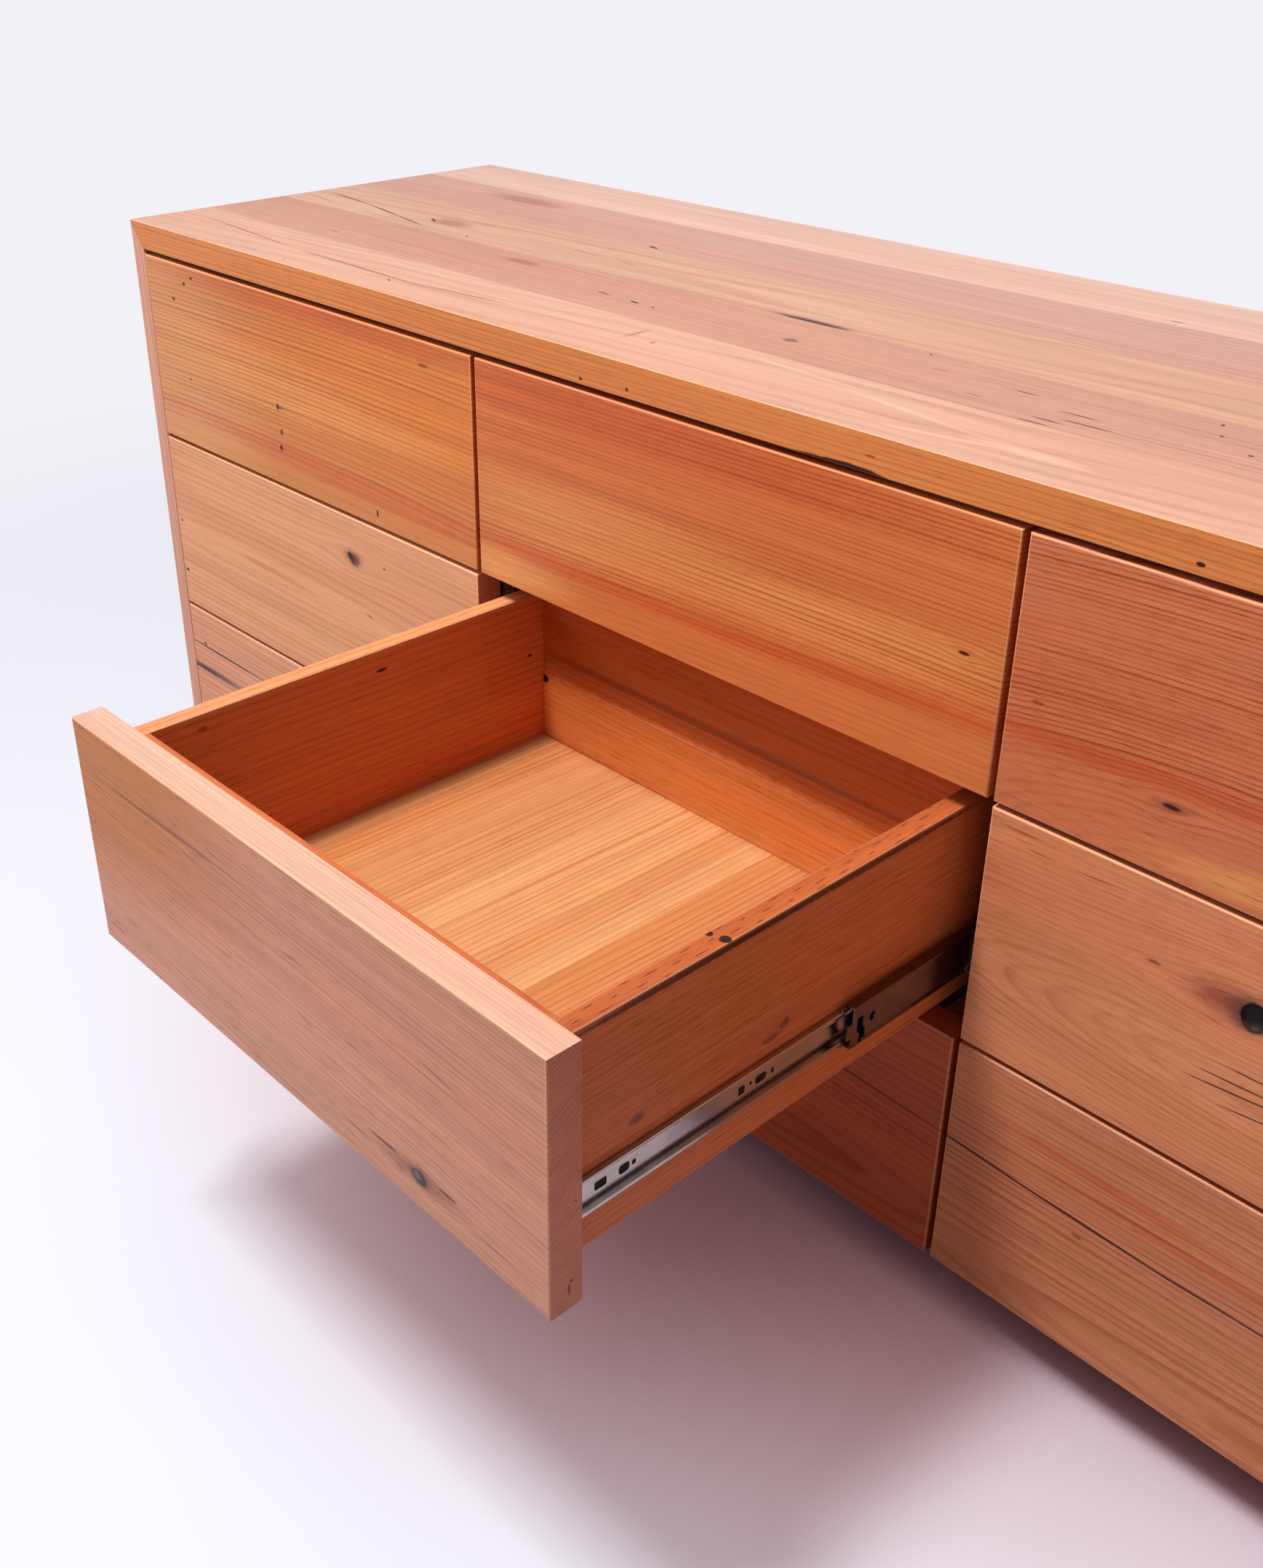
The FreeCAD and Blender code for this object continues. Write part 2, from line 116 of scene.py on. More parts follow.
class ChestTimber(bpy.types.PropertyGroup):
    """Colours of the boards."""

    # The top boards are paler than the top's front edge, which is the front board seen edge on: painted sheen
    # on the top face, palest on the back board
    top_1: colour("Top board 1", "Front board of the top", 195, 148, 123)
    top_2: colour("Top board 2", "Second board of the top", 183, 133, 110)
    top_3: colour("Top board 3", "Middle board of the top", 191, 147, 119)
    top_4: colour("Top board 4", "Fourth board of the top", 187, 141, 125)
    top_5: colour("Top board 5", "Back board of the top", 207, 166, 147)
    top_edge: colour("Top's front edge", "Front edge of the top", 215, 134, 74)
    sides: colour("Sides", "Both sides of the case", 222, 164, 138)
    # Painted shade: the case's inside boards are darkened to deepen the shade in the drawer openings
    inside: colour("Inside", "Dividers and bottom of the case", 88, 50, 32)
    back: colour("Back", "Back panel of the case", 168, 116, 80)
    plinth: colour("Plinth", "Boards of the plinth", 150, 96, 62)
    left_upper: colour("Left upper front", "Front of the left upper drawer", 210, 133, 75)
    centre_upper: colour("Centre upper front", "Front of the centre upper drawer", 210, 123, 69)
    right_upper: colour("Right upper front", "Front of the right upper drawer", 204, 120, 80)
    left_middle: colour("Left middle front", "Front of the left middle drawer", 227, 163, 118)
    centre_middle: colour("Centre middle front", "Front of the centre middle drawer", 217, 153, 124)
    right_middle: colour("Right middle front", "Front of the right middle drawer", 216, 140, 97)
    left_lower: colour("Left lower front", "Front of the left lower drawer", 224, 161, 126)
    centre_lower: colour("Centre lower front", "Front of the centre lower drawer", 180, 87, 55)
    right_lower: colour("Right lower front", "Front of the right lower drawer", 204, 130, 92)
    # Painted light: the open front's upward face takes this paler copy of its board's timber
    open_top: colour("Open front's top edge", "Top edge of the front that rests pulled out", 206, 162, 139)
    box: colour("Drawer boxes", "Side walls of the drawer boxes", 210, 117, 65)
    box_end: colour("Drawer box ends", "Front and back walls of the drawer boxes", 184, 97, 50)
    box_bottom: colour("Drawer bottoms", "Bottoms of the drawer boxes", 216, 163, 112)
    roughness: factor("Roughness", "Roughness of the oiled timber", 0.4)


class ChestStage(bpy.types.PropertyGroup):
    """Floor and light."""

    floor: colour("Floor", "Colour of the floor", 168, 174, 180)
    # Painted shade: the floor takes this colour where the chest shuts it in
    shaded_floor: colour("Shaded floor", "Colour of the floor close to the chest", 148, 124, 138)
    glow: colour("Floor glow", "Light that the open floor adds to its colour", 168, 165, 175)
    half_shadow: colour("Half shadow", "Light that the floor keeps under the open drawer", 128, 70, 70)
    shadow: colour("Shadow", "Light that the floor keeps where the chest shuts it in", 8, 2, 4)
    bounce: colour("Bounce", "Colour of the light that the floor throws back on the chest", 182, 166, 164)
    backdrop: colour("Backdrop", "Colour seen beyond the floor", 243, 241, 248)
    key: FloatProperty(
        name="Key", description="Power of the soft overhead lamp", default=128, min=0, unit="POWER",
    )
    fill: FloatProperty(
        name="Fill", description="Power of the lamp at the left", default=40, min=0, unit="POWER",
    )
    gleam: factor("Gleam", "Brightness of the surroundings in reflections", 0.75)
    sky: FloatProperty(name="Sky", description="Strength of the light from all round", default=0.24, min=0)


class ChestSettings(bpy.types.PropertyGroup):
    """All settings of the chest."""

    sizes: PointerProperty(type=ChestSizes, name="Sizes", description="Roundings and sheet sizes")
    timber: PointerProperty(type=ChestTimber, name="Timber", description="Colours of the boards")
    stage: PointerProperty(type=ChestStage, name="Stage", description="Floor and light")


def settings():
    """The chest's settings in this scene."""
    return bpy.context.scene.timber_chest


# Grain of the boards, the marks that old timber carries, and a few patches of painted light and shade

class Grain(NamedTuple):
    """How a board's grain runs and how strongly it shows. Lengths in metres.

    The heart holds how far the board's heart climbs for each metre along the grain, and its two places across
    the grain. A core widens the rings near it. Below the height that calm gives, the lines fade.
    """

    along: str = "X"
    spacing: float = 5 * MM
    lines: float = 0.5
    waviness: float = 4 * MM
    heart: tuple = (0.0, 0.15, -0.7)
    core: float = 0.0
    blush: float = 0.3
    pores: float = 0.3
    seed: float = 0.0
    calm: float = -1.0


class Mark(NamedTuple):
    """A knot, hole, crack or stain on a board, or a patch of painted light or shade, with its reach along
    each axis. Lengths in metres.
    """

    kind: str
    centre: tuple
    reach: tuple
    slope: float = 0.0


class MarkKind(NamedTuple):
    """What a kind of mark looks like. One without depth is a wash of colour under the grain."""

    stain: tuple
    softness: float
    strength: float
    depth: float
    ragged: float


MARK_KINDS = {
    "nail": MarkKind(shade(42, 12, 6), 0.4, 0.98, 0.2, 0.2),
    "faint": MarkKind(shade(116, 52, 34), 0.8, 0.75, 0.05, 0.3),
    "knot": MarkKind(shade(40, 20, 22), 0.35, 0.96, 0.12, 0.3),
    "heart": MarkKind(shade(120, 96, 104), 0.8, 0.75, 0.05, 0.4),
    "halo": MarkKind(shade(146, 72, 48), 1.0, 0.6, 0.0, 0.3),
    "crack": MarkKind(shade(44, 18, 14), 0.6, 0.94, 0.2, 0.4),
    "split": MarkKind(shade(52, 18, 12), 0.7, 0.95, 0.2, 0.12),
    "line": MarkKind(shade(118, 58, 44), 0.9, 0.65, 0.04, 0.25),
    "tick": MarkKind(shade(88, 36, 22), 0.7, 0.9, 0.05, 0.3),
    "umber": MarkKind(shade(148, 72, 36), 0.5, 0.65, 0.0, 0.3),
    # A dark band that paints shade on a rounded edge
    "painted_edge_shade": MarkKind(shade(74, 28, 18), 0.6, 0.85, 0.0, 0.3),
    "purple": MarkKind(shade(76, 38, 44), 0.9, 0.8, 0.05, 0.3),
    "red": MarkKind(shade(196, 82, 44), 1.0, 0.5, 0.0, 0.3),
    "pale": MarkKind(shade(250, 214, 184), 0.9, 0.2, 0.0, 0.3),
    "tan": MarkKind(shade(232, 166, 98), 1.0, 0.6, 0.0, 0.2),
    "amber": MarkKind(shade(203, 124, 52), 0.9, 0.9, 0.0, 0.2),
    "honey": MarkKind(shade(232, 138, 52), 1.0, 0.5, 0.0, 0.2),
    "paler_patch": MarkKind(shade(252, 206, 158), 1.0, 0.24, 0.0, 0.2),
    # A pale orange wash that paints light on the lower part of the drawer's back wall
    "painted_light": MarkKind(shade(250, 160, 86), 0.3, 0.62, 0.0, 0.15),
    "bark": MarkKind(shade(18, 6, 6), 0.3, 0.98, 0.3, 0.2),
}
# How far a mark on a face reaches into the board
THROUGH = 14 * MM


def on_front(*rows, face=FRONT_FACE):
    """Marks on an upright face: rows of kind, x, z, half length, half height and maybe a slope, in mm."""
    return [Mark(kind, (x * MM, face, z * MM), (long * MM, THROUGH, high * MM), *slope)
            for kind, x, z, long, high, *slope in rows]


def on_top(*rows):
    """Marks on the top: rows of kind, x, y, half length, half width and maybe a slope, in mm."""
    return [Mark(kind, (x * MM, y * MM, TOP_FACE), (long * MM, wide * MM, THROUGH), *slope)
            for kind, x, y, long, wide, *slope in rows]


def in_board(*rows):
    """Marks at places in a board: rows of kind, centre and reach along the axes, in mm."""
    return [Mark(kind, tuple(part * MM for part in centre), tuple(part * MM for part in reach))
            for kind, centre, reach in rows]


def rim_tick(step):
    """The row of one short torn pore in the top edge of the open drawer's right wall."""
    across = 229.5 + 14 * (0.618 * step % 1)
    along = -600 + 10 * step + 7 * (0.377 * step % 1)
    half = 2.5 + 5 * (0.27 * step % 1)
    return "tick", (across, along, 448), (0.5, half, 4)


RIM_TICKS = 35
KNOT_HOLE = (468.5 * MM, FRONT_FACE, 400 * MM)
GRAINS = {
    "top_1": Grain(spacing=10 * MM, lines=0.2, waviness=16 * MM, heart=(0.09, -0.19, 0.664),
                   core=0.05, blush=0.35, pores=0.08, seed=1.0),
    "top_edge": Grain(spacing=4 * MM, lines=0.34, waviness=4 * MM, heart=(0.01, -0.2, 0.2),
                      blush=0.3, pores=0.5, seed=1.5),
    "top_2": Grain(spacing=6 * MM, lines=0.22, waviness=12 * MM, heart=(0.0, -0.6, 0.6),
                   blush=0.5, pores=0.2, seed=2.0),
    "top_3": Grain(spacing=9 * MM, lines=0.24, waviness=16 * MM, heart=(0.05, 0.0, 0.62),
                   blush=0.3, pores=0.08, seed=3.0),
    "top_4": Grain(spacing=8 * MM, lines=0.18, waviness=14 * MM, heart=(0.0, 0.5, 0.6),
                   blush=0.5, pores=0.1, seed=4.0),
    "top_5": Grain(spacing=7 * MM, lines=0.18, waviness=8 * MM, heart=(0.0, 0.7, 0.5),
                   blush=0.25, pores=0.06, seed=5.0),
    "sides": Grain(along="Z", spacing=5 * MM, lines=0.36, waviness=6 * MM, heart=(0.0, 0.7, 0.4),
                   blush=0.3, pores=0.2, seed=6.0),
    "inside": Grain(spacing=9 * MM, lines=0.3, waviness=10 * MM, seed=7.0),
    "upright": Grain(along="Z", spacing=9 * MM, lines=0.3, waviness=10 * MM, seed=7.5),
    "back": Grain(spacing=8 * MM, lines=0.4, waviness=14 * MM, heart=(0.03, 0.2, 0.33),
                  core=0.04, blush=0.5, pores=0.4, seed=7.8),
    "plinth": Grain(spacing=7 * MM, lines=0.4, waviness=6 * MM, seed=8.0),
    "left_upper": Grain(spacing=4.2 * MM, lines=0.5, waviness=2.5 * MM, heart=(0.1, -0.185, 0.45),
                        core=0.06, blush=0.3, pores=0.2, seed=11.0, calm=0.497),
    "centre_upper": Grain(spacing=3.4 * MM, lines=0.5, waviness=3 * MM, heart=(0.07, -0.275, 0.44),
                          core=0.05, blush=0.4, pores=0.3, seed=11.0, calm=0.503),
    "right_upper": Grain(spacing=2.9 * MM, lines=0.55, waviness=4 * MM, heart=(0.26, -0.362, 0.458),
                         core=0.09, blush=0.4, pores=0.55, seed=11.0, calm=0.508),
    "left_middle": Grain(spacing=6 * MM, lines=0.26, waviness=5 * MM, heart=(0.07, -0.2, 0.36),
                         core=0.03, blush=0.35, pores=0.2, seed=14.0),
    "centre_middle": Grain(spacing=3.4 * MM, lines=0.34, waviness=6 * MM, heart=(0.05, -0.5, 0.16),
                           core=0.02, blush=0.25, pores=0.5, seed=15.0),
    "front_top": Grain(spacing=3.2 * MM, lines=0.2, waviness=3 * MM, heart=(0.012, 0.6, 0.3),
                       blush=0.2, pores=0.2, seed=15.5),
    "right_middle": Grain(spacing=4 * MM, lines=0.24, waviness=9 * MM, heart=(0.16, -0.325, 0.345),
                          core=0.03, blush=0.3, pores=0.55, seed=16.0),
    "left_lower": Grain(spacing=6 * MM, lines=0.34, waviness=6 * MM, heart=(0.0, 0.2, -0.6),
                        blush=0.4, pores=0.16, seed=17.0),
    "centre_lower": Grain(spacing=6 * MM, lines=0.4, waviness=12 * MM, heart=(0.09, -0.25, 0.09),
                          core=0.04, blush=0.4, pores=0.3, seed=18.0),
    "right_lower": Grain(spacing=4.8 * MM, lines=0.42, waviness=9 * MM, heart=(0.06, -0.29, 0.075),
                         core=0.06, blush=0.4, pores=0.5, seed=19.0),
    "box_side": Grain(along="Y", spacing=5.5 * MM, lines=0.26, waviness=6 * MM, heart=(0.0, 0.4, 1.2),
                      blush=0.7, pores=0.6, seed=21.0),
    "box_end": Grain(spacing=5.5 * MM, lines=0.26, waviness=6 * MM, heart=(0.0, 0.3, 1.2),
                     blush=0.6, pores=0.45, seed=22.0),
    "box_bottom": Grain(along="Y", spacing=6 * MM, lines=0.32, waviness=5 * MM, heart=(0.02, 0.6, 0.1),
                        blush=0.3, pores=0.3, seed=23.0),
}

MARKS = {
    "top_1": on_top(
        ("line", -690, -187, 140, 1.6, -0.10), ("line", -480, -201, 110, 2.2, -0.03),
        ("line", -340, -197, 70, 1.8, 0.10), ("faint", -420, -211, 5, 1.8, -0.5),
        ("faint", -555, -232, 3, 0.9, -0.5), ("faint", -112, -188, 2.2, 2.2),
        ("halo", -140, -178, 2.5, 16), ("pale", 235, -200, 45, 8, -0.05),
        ("pale", 140, -187, 90, 3, -0.16), ("pale", 175, -214, 70, 3, 0.18),
        ("pale", 20, -166, 90, 2.5, -0.08),
    ),
    "top_edge": on_front(
        ("nail", -135, 665.5, 1.6, 1.5), ("nail", -84, 668, 1.5, 1.6), ("nail", 380, 668, 3, 1.6),
        ("bark", 128, 660.5, 34, 3.6), ("crack", 105, 661.5, 26, 1.6), ("faint", 145, 673, 5, 1.0),
    ),
    "top_2": on_top(
        ("knot", -214, -109, 6, 2.0, -0.1), ("nail", -190, -111, 2.6, 0.9, -0.6),
        ("faint", -255, -106, 9, 2.4, -0.2), ("purple", -44, -106, 7, 5), ("heart", -43, -106, 2.0, 4.0),
        ("faint", -630, -123, 8, 1.4, -0.2), ("nail", 55, -60, 2.0, 1.0, -1.0),
        ("tick", 160, -92, 11, 1.2), ("tick", 215, -111, 18, 1.1), ("tick", 230, -126, 22, 1.1),
        ("tick", 205, -135, 12, 1.4), ("tick", 200, -145, 14, 1.1), ("line", 138, -122, 8, 1.2),
        ("line", 85, -88, 9, 1.0), ("nail", 290, -60, 1.4, 2.2), ("nail", 301, -82, 2.0, 1.2),
        ("nail", 333, -105, 2.0, 1.6), ("halo", -395, -77, 26, 8),
    ),
    "top_3": on_top(
        ("split", -760, -9, 56, 1.5, -0.14), ("split", -680, -23, 52, 1.6, -0.21),
        ("split", -620, -36, 30, 1.3, -0.20), ("line", -785, -31, 45, 1.2, -0.15),
        ("knot", -605, -17, 8, 1.9, -0.5), ("faint", -518, -44, 5, 1.4, -0.5),
        ("line", -385, -9, 26, 1.1, -0.02), ("line", -325, -11, 18, 1.0, -0.12),
        ("purple", -70, -48.5, 42, 3.8), ("split", -68, -51, 40, 2.6), ("halo", -580, -14, 30, 14),
        ("pale", -20, -30, 110, 2.2, 0.05),
    ),
    "top_4": on_top(("knot", -356, 54, 7.5, 2.2, -0.28), ("halo", -620, 122, 60, 14)),
    "top_5": on_top(("faint", 130, 161, 7, 1.6)),
    "left_upper": on_front(
        ("nail", -714, 646, 2.6, 1.5), ("nail", -729, 638, 3.0, 1.6), ("nail", -753.5, 619, 2.8, 1.9),
        ("faint", -738, 538.5, 3, 1.6), ("nail", -573, 546, 2.6, 3.2), ("faint", -568, 546, 5, 1.6),
        ("nail", -570, 521, 1.9, 3.4), ("nail", -573, 504.5, 2.6, 3.0), ("nail", -416, 479, 1.6, 3.6),
        # The paler patch at the left end paints a sheen
        ("faint", -335, 635, 8, 1.8), ("red", -535, 503, 420, 9, -0.01), ("paler_patch", -800, 545, 190, 160),
        ("red", -400, 490, 260, 4, -0.01), ("honey", -420, 590, 240, 80),
        ("tan", -560, 560, 260, 30, -0.02), ("red", -480, 648, 320, 14),
    ),
    "centre_upper": on_front(
        ("knot", 234, 562, 4.6, 1.3), ("red", -120, 503, 220, 8), ("red", 150, 512, 220, 7, 0.05),
        ("tan", -110, 545, 250, 34, 0.03), ("tan", 150, 548, 200, 24, 0.06), ("red", -60, 640, 330, 26),
        # The tan patch at the lower left corner paints a sheen of light
        ("tan", -230, 482, 90, 16),
    ),
    "right_upper": on_front(
        ("knot", 391, 514.5, 6.5, 1.6), ("halo", 391, 514.5, 16, 3.6), ("faint", 292, 548, 5, 1.6),
        ("red", 400, 530, 230, 8, 0.04), ("tan", 470, 484, 90, 12, 0.05),
    ),
    "left_middle": on_front(
        ("halo", -462, 421, 17, 8), ("purple", -460, 419, 9, 7), ("knot", -465, 421, 6.0, 5.0, -0.4),
        ("nail", -411, 424.5, 2.0, 1.0), ("faint", -795, 367.5, 4.2, 1.8), ("knot", -796, 308, 4.0, 1.7),
        ("faint", -440, 366, 6, 1.1, -0.2),
    ),
    "left_lower": on_front(
        ("split", -735, 218, 90, 1.3, -0.005), ("knot", -777, 221.5, 3, 1.8),
        ("purple", -765, 188, 70, 4.2), ("split", -785, 187.5, 34, 2.2),
    ),
    "centre_lower": on_front(("split", 170, 178.5, 110, 0.9, -0.035), ("line", 60, 182, 120, 1.2, -0.02)),
    "right_lower": on_front(
        ("split", 300, 174.2, 48, 1.3, -0.05), ("split", 385, 171, 74, 1.4, -0.025),
        ("split", 472, 169.8, 46, 1.2, 0.02), ("split", 535, 170.5, 48, 1.0, 0.01),
        ("red", 400, 214, 120, 5, -0.03), ("red", 480, 196, 140, 4, -0.02), ("faint", 385, 157, 5, 1.4),
    ),
    "right_middle": on_front(
        ("halo", 455, 401, 34, 16), ("purple", 466, 400, 15, 13), ("crack", 475, 357, 24, 0.6, 0.02),
        ("crack", 468, 347, 32, 0.6, 0.05), ("crack", 466, 339.5, 34, 0.7, 0.09),
        ("crack", 480, 328.5, 20, 0.6, 0.11), ("faint", 400, 405, 5, 1.6), ("line", 295, 453, 16, 0.9),
        ("line", 352, 444, 18, 0.8, 0.05), ("line", 310, 443, 10, 0.7), ("halo", 449, 403, 20, 6),
    ) + [Mark("bark", KNOT_HOLE, (10 * MM, 40 * MM, 11 * MM))],
    "centre_middle": on_front(
        ("purple", 142, 294, 11, 8), ("knot", 142, 293.5, 7.4, 5.8), ("heart", 140, 294, 4.4, 3.6),
        ("halo", 142, 294, 44, 9), ("crack", 106, 298.5, 16, 0.9), ("crack", 170, 298.4, 11, 1.0),
        ("line", 75, 290, 17, 1.0), ("line", 215, 286.5, 22, 0.9, -0.03), ("line", -73, 431, 10, 0.7),
        ("line", -110, 413, 10, 0.8, -0.1), ("line", 25, 348.5, 9, 0.8, -0.12),
        ("line", 78, 359.5, 8, 0.9), ("line", -215, 303.5, 15, 0.7), ("line", -245, 284.5, 14, 0.9),
        ("line", 15, 393.5, 15, 0.8, 0.03), ("line", 165, 390, 20, 0.8, -0.1),
        ("line", -150, 423, 100, 2.0, 0.01), ("amber", -262, 440, 220, 115), face=OPEN_FACE,
    ) + in_board(
        ("crack", (265, -618.5, 283), (5, 1.0, 4.5)), ("crack", (265, -616.5, 288.5), (5, 1.6, 1.2)),
        ("nail", (265, -613, 349.5), (5, 0.8, 0.6)),
    ),
    "box_side": in_board(
        *(rim_tick(step) for step in range(RIM_TICKS)),
        # Along the outer top edge of the right wall, painted shade darkens the rounding
        ("umber", (236.5, -400, 448), (16, 340, 3)), ("painted_edge_shade", (244.5, -500, 444), (1.2, 110, 2.8)),
        ("painted_edge_shade", (244.5, -360, 444), (1.2, 150, 2.8)), ("bark", (240.5, -469, 447), (4, 4, 8)),
        ("bark", (230, -472, 447), (3, 3, 3)), ("faint", (244.5, -545, 356), (8, 7, 4)),
        ("faint", (244.5, -425, 351), (8, 10, 3)), ("faint", (244.5, -412, 357), (8, 5, 4)),
        ("paler_patch", (-236.5, -400, 448), (20, 330, 4)), ("knot", (-228.5, -380, 429.5), (4, 6, 1.6)),
        ("faint", (-228.5, -548, 435), (4, 5, 2.6)), ("nail", (-228.5, -219, 391), (4, 2.6, 1.6)),
    ),
    # The wash over the lower part of the back wall paints light where the upper front's shadow ends; the pale
    # line sits on that shadow's edge
    "box_end": in_board(("bark", (-226, -203.5, 364), (5, 5, 4))) + on_front(
        ("painted_light", 0, 338, 420, 36), ("pale", 0, 369, 260, 1.6), ("line", 0, 391, 260, 3.5),
        face=BOX_BACK_FACE,
    ),
}
# Knots that the grain flows round: board, centre and size in metres
BENDS = {
    "left_middle": [((-0.464, FRONT_FACE, 0.421), 0.016)],
    "right_middle": [((0.468, FRONT_FACE, 0.400), 0.026)],
    "centre_middle": [((0.142, OPEN_FACE, 0.294), 0.014)],
    "right_upper": [((0.391, FRONT_FACE, 0.5145), 0.010)],
    "centre_upper": [((0.234, FRONT_FACE, 0.562), 0.006)],
}


# Shader nodes

class Value:
    """An output in a node tree. Sums with it add Math nodes to the tree."""

    def __init__(self, tree, socket):
        self.tree = tree
        self.socket = socket

    def __add__(self, other):
        return calc("ADD", self, other)

    def __sub__(self, other):
        return calc("SUBTRACT", self, other)

    def __mul__(self, other):
        return calc("MULTIPLY", self, other)

    def __truediv__(self, other):
        return calc("DIVIDE", self, other)

    def feed(self, socket):
        """Links the output to an input."""
        self.tree.links.new(self.socket, socket)


def node(tree, kind, inputs=(), **options):
    """Adds a node, sets its options, and sets or links its inputs. Gives its outputs by number and name."""
    made = tree.nodes.new(kind)
    for option, value in options.items():
        setattr(made, option, value)
    for socket, value in inputs:
        if isinstance(value, Value):
            value.feed(made.inputs[socket])
        else:
            made.inputs[socket].default_value = value
    outputs = {}
    for number, socket in enumerate(made.outputs):
        outputs[number] = Value(tree, socket)
        outputs[socket.name] = outputs[number]
    return outputs


def tree_of(values):
    """The node tree of the first output among some values."""
    return next(value.tree for value in values if isinstance(value, Value))


def calc(operation, *values):
    """The result of a Math node."""
    return node(tree_of(values), "ShaderNodeMath", enumerate(values), operation=operation)[0]


def vector_calc(operation, *values):
    """The result of a Vector Math node."""
    made = node(tree_of(values), "ShaderNodeVectorMath", enumerate(values), operation=operation)
    return made["Value" if operation == "LENGTH" else "Vector"]


def scaled(vector, value):
    """A vector times a number."""
    inputs = ((0, vector), ("Scale", value))
    return node(tree_of((vector, value)), "ShaderNodeVectorMath", inputs, operation="SCALE")["Vector"]


def split(vector):
    """The three parts of a vector."""
    return node(vector.tree, "ShaderNodeSeparateXYZ", ((0, vector),))


def noise(vector, detail, roughness=0.55):
    """A noise over a vector that is already scaled."""
    inputs = (("Vector", vector), ("Scale", 1.0), ("Detail", detail), ("Roughness", roughness))
    return node(vector.tree, "ShaderNodeTexNoise", inputs)


def line_noise(place, detail):
    """A noise along one number."""
    inputs = (("W", place), ("Scale", 1.0), ("Detail", detail), ("Roughness", 0.6))
    return node(place.tree, "ShaderNodeTexNoise", inputs, noise_dimensions="1D")["Fac"]


def ramp(value, low, high):
    """A smooth step from 0 at low to 1 at high."""
    inputs = (("Value", value), ("From Min", low), ("From Max", high))
    return node(value.tree, "ShaderNodeMapRange", inputs, interpolation_type="SMOOTHSTEP")["Result"]


def chance(number):
    """A steady random number, from 0 to 1, for the whole part of a number."""
    inputs = (("W", calc("FLOOR", number)),)
    return node(number.tree, "ShaderNodeTexWhiteNoise", inputs, noise_dimensions="1D")["Value"]


def mix(share, first, second, blend="MIX"):
    """A mix of two colours."""
    inputs = ((0, share), (6, first), (7, second))
    return node(share.tree, "ShaderNodeMix", inputs, data_type="RGBA", blend_type=blend)[2]


def new_group(name, inputs, outputs):
    """A shader node group with its sockets. Inputs and outputs map each kind of socket to its names."""
    tree = bpy.data.node_groups.new(name, "ShaderNodeTree")
    for way, sockets in (("INPUT", inputs), ("OUTPUT", outputs)):
        for kind, labels in sockets.items():
            for label in labels:
                tree.interface.new_socket(name=label, in_out=way, socket_type=f"NodeSocket{kind}")
    return tree, node(tree, "NodeGroupInput"), tree.nodes.new("NodeGroupOutput").inputs


LINE_TINT = opaque(shade(194, 140, 106))
BLUSH_TINT = opaque(shade(246, 214, 200))
PORE_TINT = opaque(shade(150, 100, 80))
END_TINT = opaque(shade(244, 224, 221))
# Rounded edges go paler towards this tint: partly wear, partly a painted highlight
EDGE_WEAR_AND_HIGHLIGHT_TINT = opaque(shade(255, 212, 168))
STRIP_TINT = opaque(shade(220, 176, 142))
ROUNDED_FACES = "rounded_edge"
# Outputs of the groups that make a surface
SURFACE = {"Color": ["Color"], "Float": ["Roughness", "Height"]}
# How far one step of a board's seed moves its noises
SEED_STEP = (7.31, 3.17, 5.71)
# Each noise of the grain: waves to the metre along and across the grain, detail and roughness
GRAIN_NOISES = {
    "sway": (1.6, 7.0, 2.0, 0.55), "wobble": (5.0, 45.0, 2.0, 0.55), "fade": (2.5, 30.0, 2.0, 0.55),
    "blush": (1.1, 12.0, 3.0, 0.55), "fibre": (9.0, 420.0, 3.0, 0.65), "pores": (42.0, 1500.0, 1.0, 0.55),
    "streak": (2.2, 65.0, 3.0, 0.6),
}
# Half of the height over which the lines fade to the calm part of a board
CALM_EDGE = 15 * MM
# Waves to the metre of a mark's ragged outline
MARK_WAVES = (90.0, 260.0, 260.0)
# How much a distance along each axis counts when the grain flows round a knot
BEND_SHAPE = (0.4, 0.0, 1.0)


